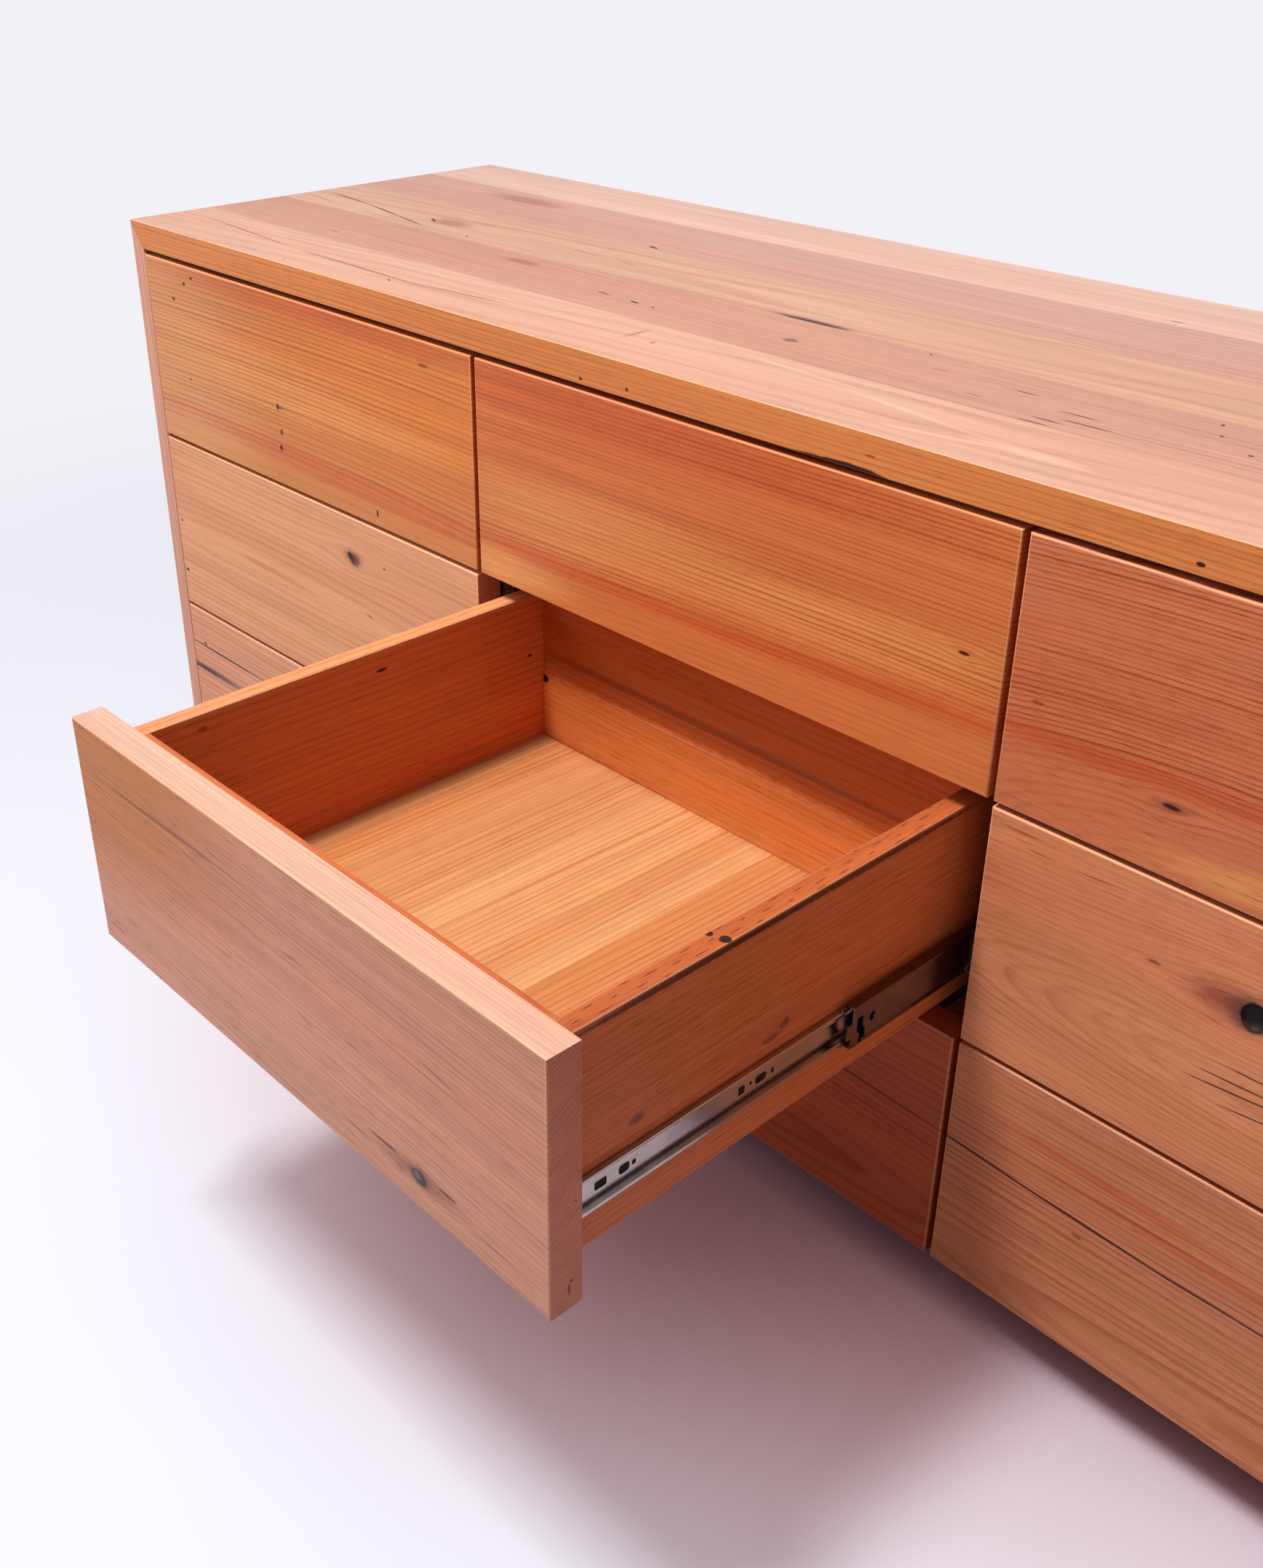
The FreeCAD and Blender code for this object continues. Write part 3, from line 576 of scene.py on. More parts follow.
def make_grain_group():
    """Growth lines round a board's heart, broad blushes, fibres and pores. The grain runs along X."""
    tree, given, result = new_group(
        "Timber grain",
        {"Vector": ["Vector", "Heart"], "Color": ["Base"],
         "Float": ["Spacing", "Lines", "Waviness", "Core", "Blush", "Pores", "Seed", "Calm",
                   "Edge", "End", "Roughness"]},
        SURFACE,
    )
    seed = scaled(SEED_STEP, given["Seed"])

    def grain_noise(name):
        """One of the grain's noises, drawn out along the grain."""
        along, across, detail, roughness = GRAIN_NOISES[name]
        drawn = vector_calc("MULTIPLY", given["Vector"], (along, across, across))
        return noise(vector_calc("ADD", drawn, seed), detail, roughness)

    # Turns counts the growth rings outwards from the heart, with a sway, uneven widths and a wobble
    place = split(given["Vector"])
    heart = split(given["Heart"])
    sway = vector_calc("SUBTRACT", grain_noise("sway")["Color"], (0.5, 0.5, 0.5))
    sway = split(scaled(sway, given["Waviness"] * 2.0))
    from_y = place[1] - (heart[0] * place[0] + heart[1]) + sway[1]
    from_z = place[2] - heart[2] + sway[2]
    squared = from_y * from_y + from_z * from_z
    widened = squared / (calc("SQRT", squared) + given["Core"])
    turns = widened / given["Spacing"] + given["Seed"] * 13.7
    turns = turns + line_noise(turns * 0.3, 1.0) * 1.2 + grain_noise("wobble")["Fac"] * 0.6

    # Lines are the dark late wood of each ring, stronger in some rings and faded in places
    phase = calc("FRACT", turns)
    late = ramp(phase, 0.45, 0.86) * ramp(phase, 1.0, 0.9)
    bands = ramp(line_noise(turns * 0.21, 2.0), 0.35, 0.7)
    fade = ramp(grain_noise("fade")["Fac"], 0.3, 0.7)
    lines = late * (chance(turns) * 0.5 + 0.7) * (fade * 0.8 + 0.6) + bands * 0.18
    lively = ramp(place[2] + sway[2] - given["Calm"], -CALM_EDGE, CALM_EDGE) * 0.75 + 0.25
    lines = lines * lively * given["Lines"]
    blush = ramp(grain_noise("blush")["Fac"], 0.4, 0.75) * given["Blush"]
    fibre = grain_noise("fibre")["Fac"]
    pores = ramp(grain_noise("pores")["Fac"], 0.6, 0.74) * given["Pores"]
    streak = grain_noise("streak")["Fac"]

    tone = mix(lines, given["Base"], LINE_TINT, "MULTIPLY")
    tone = mix(blush, tone, BLUSH_TINT, "MULTIPLY")
    tone = scaled(tone, streak * 0.42 + fibre * 0.5 + 0.54)
    tone = mix(pores, tone, PORE_TINT, "MULTIPLY")
    # Rounded edges go paler: partly wear, partly a painted highlight
    tone = mix(given["Edge"] * 0.2, tone, EDGE_WEAR_AND_HIGHLIGHT_TINT)
    tone = mix(given["End"], tone, END_TINT, "MULTIPLY")
    tone.feed(result["Color"])
    rough = (fibre - 0.5) * 0.2 + given["Roughness"] + pores * 0.12
    rough.feed(result["Roughness"])
    height = fibre * 0.3 - pores * 0.7 - lines * 0.15
    height.feed(result["Height"])
    return tree


def make_mark_group():
    """One knot, hole, crack, stain or patch of painted light or shade laid over a colour, a roughness and a
    height.
    """
    tree, given, result = new_group(
        "Timber mark",
        {"Vector": ["Vector", "Centre", "Reach"], "Color": ["Color", "Stain"],
         "Float": ["Roughness", "Height", "Slope", "Softness", "Strength", "Depth", "Ragged"]},
        SURFACE,
    )
    away = vector_calc("SUBTRACT", given["Vector"], given["Centre"])
    rise = split(away)[0] * given["Slope"]
    lean = node(tree, "ShaderNodeCombineXYZ", ((1, rise), (2, rise)))[0]
    away = vector_calc("DIVIDE", vector_calc("SUBTRACT", away, lean), given["Reach"])
    ragged = noise(vector_calc("MULTIPLY", given["Vector"], MARK_WAVES), 3.0)["Fac"]
    distance = vector_calc("LENGTH", away) + (ragged - 0.5) * given["Ragged"] * 2.0
    outer = given["Softness"] * 0.35 + 1.0
    mask = ramp(distance, outer, outer - given["Softness"])
    share = mask * given["Strength"]
    tone = mix(share, given["Color"], given["Stain"])
    tone.feed(result["Color"])
    rough = calc("MAXIMUM", given["Roughness"], share * given["Depth"] * 2.0)
    rough.feed(result["Roughness"])
    height = given["Height"] - mask * given["Depth"]
    height.feed(result["Height"])
    return tree


def make_bend_group():
    """Draws the grain aside so that it flows round a knot."""
    tree, given, result = new_group(
        "Grain bend", {"Vector": ["Vector", "Centre"], "Float": ["Size"]}, {"Vector": ["Vector"]},
    )
    away = vector_calc("SUBTRACT", given["Vector"], given["Centre"])
    near = vector_calc("LENGTH", vector_calc("MULTIPLY", away, BEND_SHAPE)) / given["Size"]
    pull = calc("EXPONENT", near * near * -1.0)
    aside = scaled(vector_calc("MULTIPLY", away, (0.0, 0.0, 1.0)), pull)
    bent = vector_calc("SUBTRACT", given["Vector"], aside)
    bent.feed(result["Vector"])
    return tree


def shared_group(name, maker):
    """A node group that is built once."""
    return bpy.data.node_groups.get(name) or maker()


def new_material(name):
    """A material, its node tree and its Principled BSDF."""
    material = bpy.data.materials.new(name)
    material.use_nodes = True
    tree = material.node_tree
    return material, tree, tree.nodes["Principled BSDF"]


def dress(shader, tone, rough, height, strength, depth):
    """Links a colour, a roughness and a bump to a shader."""
    inputs = (("Strength", strength), ("Distance", depth), ("Height", height))
    bump = node(height.tree, "ShaderNodeBump", inputs)["Normal"]
    for socket, value in (("Base Color", tone), ("Roughness", rough), ("Normal", bump)):
        value.feed(shader.inputs[socket])


# The axes of the chest that lie along the grain and across it
GRAIN_ORDER = {"X": (0, 1, 2), "Y": (1, 0, 2), "Z": (2, 1, 0)}
STRIP_WIDTH = 26 * MM
TIMBER_SHINE = 0.24
# Waves to the metre of the zinc's streaks and of its clouds
STREAK_WAVES = (1800.0, 9.0, 1800.0)
CLOUD_WAVES = 55.0


def lay_mark(mark, place, tone, rough=0.4, height=0.0):
    """Lays one mark over a colour, a roughness and a height."""
    look = MARK_KINDS[mark.kind]
    inputs = (
        ("Color", tone), ("Roughness", rough), ("Height", height), ("Vector", place),
        ("Centre", mark.centre), ("Reach", mark.reach), ("Slope", mark.slope),
        ("Stain", opaque(look.stain)), ("Softness", look.softness), ("Strength", look.strength),
        ("Depth", look.depth), ("Ragged", look.ragged),
    )
    group = shared_group("Timber mark", make_mark_group)
    made = node(place.tree, "ShaderNodeGroup", inputs, node_tree=group)
    return made["Color"], made["Roughness"], made["Height"]


def timber(board, name=None, marked=True, tint=None):
    """The material of one board, from its grain, its marks and its colour or a tint in place of that."""
    name = name or f"timber_{board}"
    if name in bpy.data.materials:
        return bpy.data.materials[name]
    grain = GRAINS[board]
    material, tree, shader = new_material(name)
    place = node(tree, "ShaderNodeTexCoord")["Object"]
    bent = place
    for centre, size in BENDS.get(board, ()):
        inputs = (("Vector", bent), ("Centre", centre), ("Size", size))
        group = shared_group("Grain bend", make_bend_group)
        bent = node(tree, "ShaderNodeGroup", inputs, node_tree=group)["Vector"]
    parts = split(bent)
    order = GRAIN_ORDER[grain.along]
    turned = node(tree, "ShaderNodeCombineXYZ", [(i, parts[axis]) for i, axis in enumerate(order)])[0]
    base = opaque(tint or getattr(settings().timber, board))
    if board == "box_bottom":
        base = strip_tone(parts[0], base)
    marks = MARKS.get(board, ()) if marked else ()
    for mark in [mark for mark in marks if MARK_KINDS[mark.kind].depth == 0]:
        base = lay_mark(mark, place, base)[0]
    edge = node(tree, "ShaderNodeAttribute", attribute_name=ROUNDED_FACES)["Fac"]
    faced = split(node(tree, "ShaderNodeNewGeometry")["Normal"])
    end = ramp(calc("ABSOLUTE", faced[order[0]]), 0.6, 0.95)
    inputs = [(field.title(), value) for field, value in grain._asdict().items() if field != "along"]
    inputs += [("Vector", turned), ("Base", base), ("Edge", edge), ("End", end),
               ("Roughness", settings().timber.roughness)]
    group = shared_group("Timber grain", make_grain_group)
    made = node(tree, "ShaderNodeGroup", inputs, node_tree=group)
    tone, rough, height = made["Color"], made["Roughness"], made["Height"]
    for mark in [mark for mark in marks if MARK_KINDS[mark.kind].depth > 0]:
        tone, rough, height = lay_mark(mark, place, tone, rough, height)
    dress(shader, tone, rough, height, strength=0.35, depth=0.5 * MM)
    shader.inputs["Specular IOR Level"].default_value = TIMBER_SHINE
    return material


def strip_tone(across, base):
    """A base colour that changes from one glued strip to the next."""
    share = chance(across / STRIP_WIDTH) * 0.6 + 0.2
    return mix(share, base, STRIP_TINT, "MULTIPLY")


def zinc(name, screen, roughness):
    """Zinc plate with rolling streaks and a faint cloudiness, in the colour given; the slot floors' dark
    colour is painted shade and the carriers' is a painted reflection.
    """
    if name in bpy.data.materials:
        return bpy.data.materials[name]
    material, tree, shader = new_material(name)
    place = node(tree, "ShaderNodeTexCoord")["Object"]
    streaks = noise(vector_calc("MULTIPLY", place, STREAK_WAVES), 2.0)["Fac"]
    clouds = noise(scaled(place, CLOUD_WAVES), 3.0)["Fac"]
    clear = opaque(shade(*screen))
    cloudy = opaque(shade(*[0.93 * value for value in screen]))
    tone = mix(ramp(clouds, 0.35, 0.7), clear, cloudy)
    rough = streaks * 0.1 + clouds * 0.06 + (roughness - 0.08)
    dress(shader, tone, rough, streaks, strength=0.035, depth=0.1 * MM)
    shader.inputs["Metallic"].default_value = 1.0
    return material


# Mesh work

FINE_SEGMENTS = 3
FRONT_SEGMENTS = 4
CREASE = math.radians(40)
# A face looks along an axis when this much of its normal does
FACING = 0.9


def start_mesh():
    """An empty mesh whose faces can be marked as rounded edges."""
    mesh = bmesh.new()
    mesh.faces.layers.float.new(ROUNDED_FACES)
    return mesh


def round_edges(mesh, edges, rounding, segments=FINE_SEGMENTS):
    """Rounds edges and marks the faces that this makes."""
    made = bmesh.ops.bevel(
        mesh, geom=list(edges), offset=rounding, offset_type="OFFSET", segments=segments,
        profile=0.5, affect="EDGES", material=-1, clamp_overlap=True,
    )
    layer = mesh.faces.layers.float[ROUNDED_FACES]
    for face in made["faces"]:
        face[layer] = 1.0


def add_block(mesh, low, high):
    """A squared block between two corners. Gives its vertices."""
    verts = bmesh.ops.create_cube(mesh, size=1.0)["verts"]
    bmesh.ops.scale(mesh, vec=Vector(high) - Vector(low), verts=verts)
    bmesh.ops.translate(mesh, vec=(Vector(low) + Vector(high)) / 2, verts=verts)
    return verts


def edges_of(verts):
    """The edges that join the vertices of a block."""
    return list(dict.fromkeys(edge for vert in verts for edge in vert.link_edges))


def add_board(mesh, low, high, rounding):
    """A board with all its edges rounded."""
    round_edges(mesh, edges_of(add_block(mesh, low, high)), rounding)


def mark_smooth(mesh):
    """Shades rounded edges smooth and keeps flat faces flat."""
    layer = mesh.faces.layers.float[ROUNDED_FACES]
    for face in mesh.faces:
        face.smooth = True
    for edge in mesh.edges:
        faces = edge.link_faces
        alike = len(faces) == 2 and faces[0][layer] == faces[1][layer]
        edge.smooth = alike and edge.calc_face_angle(0.0) < CREASE


def to_data(mesh, name):
    """Turns a bmesh into mesh data and frees it."""
    data = bpy.data.meshes.new(name)
    mesh.to_mesh(data)
    mesh.free()
    return data


def finish_piece(mesh, name, body, nodes, materials):
    """Turns a finished bmesh into an object that rides on a body and stands for CAD nodes."""
    mark_smooth(mesh)
    piece = bpy.data.objects.new(name, to_data(mesh, name))
    for material in materials:
        piece.data.materials.append(material)
    bpy.context.scene.collection.objects.link(piece)
    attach(piece, body)
    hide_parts(*nodes)


def carve(mesh, cutter):
    """Takes the shape of a cutter out of a mesh."""
    objects = []
    for name, source in (("carve_blank", mesh), ("carve_cutter", cutter)):
        data = bpy.data.meshes.new(name)
        source.to_mesh(data)
        objects.append(bpy.data.objects.new(name, data))
        bpy.context.scene.collection.objects.link(objects[-1])
    blank, tool = objects
    opening = blank.modifiers.new("Openings", "BOOLEAN")
    opening.operation = "DIFFERENCE"
    opening.solver = "EXACT"
    opening.use_self = True
    opening.object = tool
    graph = bpy.context.evaluated_depsgraph_get()
    carved = bpy.data.meshes.new_from_object(blank.evaluated_get(graph))
    mesh.clear()
    mesh.from_mesh(carved)
    cutter.free()
    for thing in objects:
        data = thing.data
        bpy.data.objects.remove(thing)
        bpy.data.meshes.remove(data)
    bpy.data.meshes.remove(carved)


def copy_in(mesh, pattern, move, mirrored=False):
    """Adds a copy of a pattern mesh, mirrored in X or not, then moved."""
    known = set(mesh.verts)
    mesh.from_mesh(pattern)
    verts = [vert for vert in mesh.verts if vert not in known]
    if mirrored:
        bmesh.ops.scale(mesh, vec=(-1.0, 1.0, 1.0), verts=verts)
        faces = list(dict.fromkeys(face for vert in verts for face in vert.link_faces))
        bmesh.ops.reverse_faces(mesh, faces=faces)
    bmesh.ops.translate(mesh, vec=move, verts=verts)


# Case

TOP_JOINTS = (-148.5 * MM, -53 * MM, 44 * MM, 150 * MM)


def mitred(low, high, lean):
    """A panel whose ends lean inwards where they meet the next panel: lean maps a vertex to its shift."""
    mesh = start_mesh()
    verts = add_block(mesh, low, high)
    for vert in verts:
        vert.co += lean(vert.co)
    return mesh, verts


def middle(edge):
    """Middle of an edge."""
    return (edge.verts[0].co + edge.verts[1].co) / 2


class CHEST_OT_top(bpy.types.Operator):
    """Make the top panel, five glued boards mitred to the sides"""

    bl_idname = "chest.top"
    bl_label = "Top Panel"

    def execute(self, context):
        sizes = settings().sizes
        low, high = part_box("top_panel")
        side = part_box("left_side")
        inset = side[1].x - side[0].x

        def lean(place):
            inward = -math.copysign(inset, place.x) if place.z < (low.z + high.z) / 2 else 0.0
            return Vector((inward, 0, 0))

        mesh, verts = mitred(low, high, lean)
        long_edges = [edge for edge in edges_of(verts) if abs(middle(edge).x) < inset]
        end_edges = [edge for edge in edges_of(verts)
                     if abs(middle(edge).x) > high.x - inset / 4 and abs(middle(edge).y) < inset]
        round_edges(mesh, long_edges + end_edges, sizes.board_round)
        for joint in TOP_JOINTS:
            everything = mesh.verts[:] + mesh.edges[:] + mesh.faces[:]
            bmesh.ops.bisect_plane(mesh, geom=everything, plane_co=(0, joint, 0), plane_no=(0, 1, 0))
        for face in mesh.faces:
            face.material_index = sum(face.calc_center_median().y > joint for joint in TOP_JOINTS)
            # The front edge takes a deeper copy of the front board's timber, so the boards' paler colours
            # hold a painted sheen
            if face.normal.y < -FACING:
                face.material_index = len(TOP_JOINTS) + 1
        boards = [timber(f"top_{number}") for number in range(1, len(TOP_JOINTS) + 2)]
        boards.append(timber("top_edge"))
        finish_piece(mesh, "top_panel_boards", "case", ["top_panel"], boards)
        return {"FINISHED"}


class CHEST_OT_sides(bpy.types.Operator):
    """Make the two sides, mitred to the top"""

    bl_idname = "chest.sides"
    bl_label = "Sides"

    def execute(self, context):
        sizes = settings().sizes
        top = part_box("top_panel")
        drop = top[1].z - top[0].z
        for side, hand in (("left", -1), ("right", 1)):
            low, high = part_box(f"{side}_side")
            inner = low.x if hand > 0 else high.x

            def lean(place):
                down = drop if place.z > top[0].z and abs(place.x - inner) < MM else 0.0
                return Vector((0, 0, -down))

            mesh, verts = mitred(low, high, lean)
            upright = [edge for edge in edges_of(verts) if abs(middle(edge).z - (low.z + high.z) / 2) < drop]
            foot = [edge for edge in edges_of(verts) if middle(edge).z < low.z + MM]
            round_edges(mesh, upright + foot, sizes.board_round)
            finish_piece(mesh, f"{side}_side_board", "case",
                         [f"{side}_side"], [timber("sides")])
        return {"FINISHED"}


class CHEST_OT_inside(bpy.types.Operator):
    """Make the dividers, the bottom and the back of the case"""

    bl_idname = "chest.inside"
    bl_label = "Case Inside"

    def execute(self, context):
        rounding = settings().sizes.inside_round
        # The dividers and the bottom take the darkened inside colour: painted shade in the openings
        dark = settings().timber.inside
        timbers = {
            "left_divider": timber("upright", tint=dark), "right_divider": timber("upright", tint=dark),
            "bottom_panel": timber("inside"), "back_panel": timber("back"),
        }
        for panel, material in timbers.items():
            mesh = start_mesh()
            add_board(mesh, *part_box(panel), rounding)
            finish_piece(mesh, f"{panel}_board", "case", [panel], [material])
        return {"FINISHED"}


SCREW_MARGIN = 60 * MM
SCREW_RADIUS = 4 * MM
SCREW_ROUND = 0.8 * MM
SCREW_SIDES = 24
CROSS_HALF = 2.2 * MM
CROSS_HALF_WIDTH = 0.45 * MM
CROSS_TOP = 3 * MM
DIVIDER_SCREWS = 4
BOTTOM_SCREWS = 6


def spread(low, high, count):
    """Places for a row of screws between two ends, with a margin at each."""
    gap = (high - low - 2 * SCREW_MARGIN) / (count - 1)
    return [low + SCREW_MARGIN + step * gap for step in range(count)]


class CHEST_OT_back_screws(bpy.types.Operator):
    """Make the cross-head screws that hold the back panel"""

    bl_idname = "chest.back_screws"
    bl_label = "Back Screws"

    def execute(self, context):
        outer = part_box("back_screws")[1].y
        first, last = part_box("back_panel")
        foot, floor_top = (corner.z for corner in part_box("bottom_panel"))
        spots = []
        for side in ("left", "right"):
            near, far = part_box(f"{side}_divider")
            heights = spread(floor_top, last.z, DIVIDER_SCREWS)
            spots += [((near.x + far.x) / 2, height) for height in heights]
        spots += [(across, (foot + floor_top) / 2) for across in spread(first.x, last.x, BOTTOM_SCREWS)]
        pattern = self.screw_head(outer - last.y)
        mesh = start_mesh()
        for across, height in spots:
            copy_in(mesh, pattern, (across, (last.y + outer) / 2, height))
        bpy.data.meshes.remove(pattern)
        finish_piece(mesh, "back_screw_heads", "case", ["back_screws"],
                     [zinc("screw_zinc", (196, 190, 176), 0.34)])
        return {"FINISHED"}

    def screw_head(self, depth):
        """A round head that looks to the back, with a cross sunk to half of its depth."""
        head = start_mesh()
        made = bmesh.ops.create_cone(
            head, cap_ends=True, segments=SCREW_SIDES, radius1=SCREW_RADIUS, radius2=SCREW_RADIUS,
            depth=depth, matrix=Matrix.Rotation(-math.pi / 2, 4, "X"),
        )
        rim = [edge for edge in edges_of(made["verts"]) if all(vert.co.y > 0 for vert in edge.verts)]
        round_edges(head, rim, SCREW_ROUND)
        cross = bmesh.new()
        for across, up in ((CROSS_HALF, CROSS_HALF_WIDTH), (CROSS_HALF_WIDTH, CROSS_HALF)):
            add_block(cross, (-across, 0, -up), (across, CROSS_TOP, up))
        carve(head, cross)
        return to_data(head, "screw_head")


CROSS_RAILS = 3


class CHEST_OT_plinth(bpy.types.Operator):
    """Make the boards of the plinth"""

    bl_idname = "chest.plinth"
    bl_label = "Plinth"

    def execute(self, context):
        rounding = settings().sizes.board_round
        timbers = [timber("plinth")]
        for board in ("plinth_front", "plinth_back"):
            mesh = start_mesh()
            add_board(mesh, *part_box(board), rounding)
            finish_piece(mesh, f"{board}_board", "case", [board], timbers)
        low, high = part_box("plinth_ends")
        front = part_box("plinth_front")
        thick = front[1].y - front[0].y
        mesh = start_mesh()
        for near in (low.x, high.x - thick):
            add_board(mesh, (near, low.y, low.z), (near + thick, high.y, high.z), rounding)
        finish_piece(mesh, "plinth_end_boards", "case", ["plinth_ends"], timbers)
        first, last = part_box("plinth_cross_rails")
        mesh = start_mesh()
        for number in range(CROSS_RAILS):
            near = first.x + number * (last.x - thick - first.x) / (CROSS_RAILS - 1)
            add_board(mesh, (near, first.y, first.z), (near + thick, last.y, last.z), rounding)
        finish_piece(mesh, "plinth_cross_boards", "case", ["plinth_cross_rails"], timbers)
        return {"FINISHED"}


# Drawers

# Knot holes sunk into fronts: centre and reach in metres
PITS = {"right_middle": (KNOT_HOLE, (9 * MM, 6 * MM, 10 * MM))}
PIT_SIDES = 24
PIT_RINGS = 16


def sink_pit(mesh, centre, reach):
    """Sinks a rounded hole into a mesh."""
    cutter = bmesh.new()
    made = bmesh.ops.create_uvsphere(cutter, u_segments=PIT_SIDES, v_segments=PIT_RINGS, radius=1.0)
    bmesh.ops.scale(cutter, vec=reach, verts=made["verts"])
    bmesh.ops.translate(cutter, vec=centre, verts=made["verts"])
    carve(mesh, cutter)


class CHEST_OT_fronts(bpy.types.Operator):
    """Make the nine drawer fronts"""

    bl_idname = "chest.fronts"
    bl_label = "Drawer Fronts"

    def execute(self, context):
        sizes = settings().sizes
        for drawer in DRAWERS:
            low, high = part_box(f"{drawer}_front")
            mesh = start_mesh()
            edges = edges_of(add_block(mesh, low, high))
            seen = [edge for edge in edges if middle(edge).y < low.y + MM]
            rest = [edge for edge in edges if middle(edge).y > low.y + MM]
            round_edges(mesh, seen, sizes.front_round, FRONT_SEGMENTS)
            round_edges(mesh, [edge for edge in rest if edge.is_valid], sizes.board_round)
            if drawer in PITS:
                sink_pit(mesh, *PITS[drawer])
            timbers = [timber(drawer)]
            # The open front's upward face takes a paler copy of its timber: painted light
            if drawer == SHOWN_OPEN:
                timbers.append(timber("front_top", tint=settings().timber.open_top))
                for face in mesh.faces:
                    face.material_index = int(face.normal.z > FACING)
            finish_piece(mesh, f"{drawer}_front_board", f"{drawer}_drawer",
                         [f"{drawer}_front"], timbers)
        return {"FINISHED"}


GROOVE_DEPTH = 6 * MM


def cut_groove(mesh, axis, inward, low, high):
    """Sinks a groove into the faces that look inward along an axis, between two corners."""
    others = [other for other in range(3) if other != axis]
    for other, place in [(other, corner[other]) for other in others for corner in (low, high)]:
        faces = [face for face in mesh.faces if face.normal[axis] * inward > FACING]
        around = list(dict.fromkeys(edge for face in faces for edge in face.edges))
        corners = list(dict.fromkeys(vert for face in faces for vert in face.verts))
        spot = Vector((0, 0, 0))
        spot[other] = place
        along = Vector((0, 0, 0))
        along[other] = 1.0
        bmesh.ops.bisect_plane(mesh, geom=faces + around + corners, plane_co=spot, plane_no=along)
    inner = []
    for face in mesh.faces:
        centre = face.calc_center_median()
        inside = all(low[other] < centre[other] < high[other] for other in others)
        if inside and face.normal[axis] * inward > FACING:
            inner.append(face)
    made = bmesh.ops.extrude_face_region(mesh, geom=inner)
    moved = [thing for thing in made["geom"] if isinstance(thing, bmesh.types.BMVert)]
    shift = Vector((0, 0, 0))
    shift[axis] = -inward * GROOVE_DEPTH
    bmesh.ops.translate(mesh, vec=shift, verts=moved)
    bmesh.ops.delete(mesh, geom=[face for face in inner if face.is_valid], context="FACES_ONLY")


class CHEST_OT_boxes(bpy.types.Operator):
    """Make the four grooved walls of each drawer box"""

    bl_idname = "chest.boxes"
    bl_label = "Drawer Box Walls"

    def execute(self, context):
        rounding = settings().sizes.board_round
        for drawer in DRAWERS:
            low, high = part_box(f"{drawer}_walls")
            board_low, board_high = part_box(f"{drawer}_bottom")
            walls = (
                (low, (low.x + WALL, high.y, high.z), 0, 1),
                ((high.x - WALL, low.y, low.z), high, 0, -1),
                ((low.x + WALL, low.y, low.z), (high.x - WALL, low.y + WALL, high.z), 1, 1),
                ((low.x + WALL, high.y - WALL, low.z), (high.x - WALL, high.y, high.z), 1, -1),
            )
            whole = start_mesh()
            for near, far, axis, inward in walls:
                mesh = start_mesh()
                add_board(mesh, near, far, rounding)
                cut_groove(mesh, axis, inward, board_low, board_high)
                for face in mesh.faces:
                    face.material_index = axis
                data = to_data(mesh, "wall")
                whole.from_mesh(data)
                bpy.data.meshes.remove(data)
            marked = drawer == SHOWN_OPEN
            suffix = "marked" if marked else "plain"
            timbers = [timber("box_side", f"timber_box_side_{suffix}", marked, settings().timber.box),
                       timber("box_end", f"timber_box_end_{suffix}", marked)]
            finish_piece(whole, f"{drawer}_box_walls", f"{drawer}_drawer",
                         [f"{drawer}_walls"], timbers)
        return {"FINISHED"}


class CHEST_OT_bottoms(bpy.types.Operator):
    """Make the drawer bottoms, glued from strips"""

    bl_idname = "chest.bottoms"
    bl_label = "Drawer Bottoms"

    def execute(self, context):
        for drawer in DRAWERS:
            mesh = start_mesh()
            add_board(mesh, *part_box(f"{drawer}_bottom"), settings().sizes.inside_round)
            finish_piece(mesh, f"{drawer}_bottom_board", f"{drawer}_drawer",
                         [f"{drawer}_bottom"], [timber("box_bottom")])
        return {"FINISHED"}


# Slides

# Profiles, slots and cages in mm: outward from the drawer box, back from the front end, up from the middle
SLOT_SEGMENTS = 4


def sheet_channel(profile, span):
    """A length of bent sheet metal from its outer profile of distance and height."""
    sizes = settings().sizes
    mesh = start_mesh()
    verts = [mesh.verts.new((out * MM, 0.0, up * MM)) for out, up in profile]
    edges = [mesh.edges.new(pair) for pair in zip(verts, verts[1:])]
    made = bmesh.ops.extrude_edge_only(mesh, edges=edges)
    far = [thing for thing in made["geom"] if isinstance(thing, bmesh.types.BMVert)]
    bmesh.ops.translate(mesh, vec=(0, span, 0), verts=far)
    bmesh.ops.recalc_face_normals(mesh, faces=mesh.faces[:])
    folds = [edge for edge in mesh.edges if len(edge.link_faces) == 2]
    round_edges(mesh, folds, sizes.bend)
    bmesh.ops.solidify(mesh, geom=mesh.faces[:], thickness=sizes.sheet)
    bmesh.ops.recalc_face_normals(mesh, faces=mesh.faces[:])
    return mesh


def between(out, back, up):
    """The two corners of a block from its three ranges in millimetres."""
    return [Vector(corner) * MM for corner in zip(out, back, up)]


def cut_slots(mesh, slots):
    """Cuts slots in sheet metal, each given by three ranges and the rounding of its corners, in mm."""
    cutter = bmesh.new()
    for out, back, up, rounded in slots:
        verts = add_block(cutter, *between(out, back, up))
        corners = [edge for edge in edges_of(verts) if abs(edge.verts[0].co.x - edge.verts[1].co.x) > MM / 10]
        bmesh.ops.bevel(
            cutter, geom=corners, offset=rounded * MM, offset_type="OFFSET", segments=SLOT_SEGMENTS,
            profile=0.5, affect="EDGES", material=-1, clamp_overlap=True,
        )
    carve(mesh, cutter)


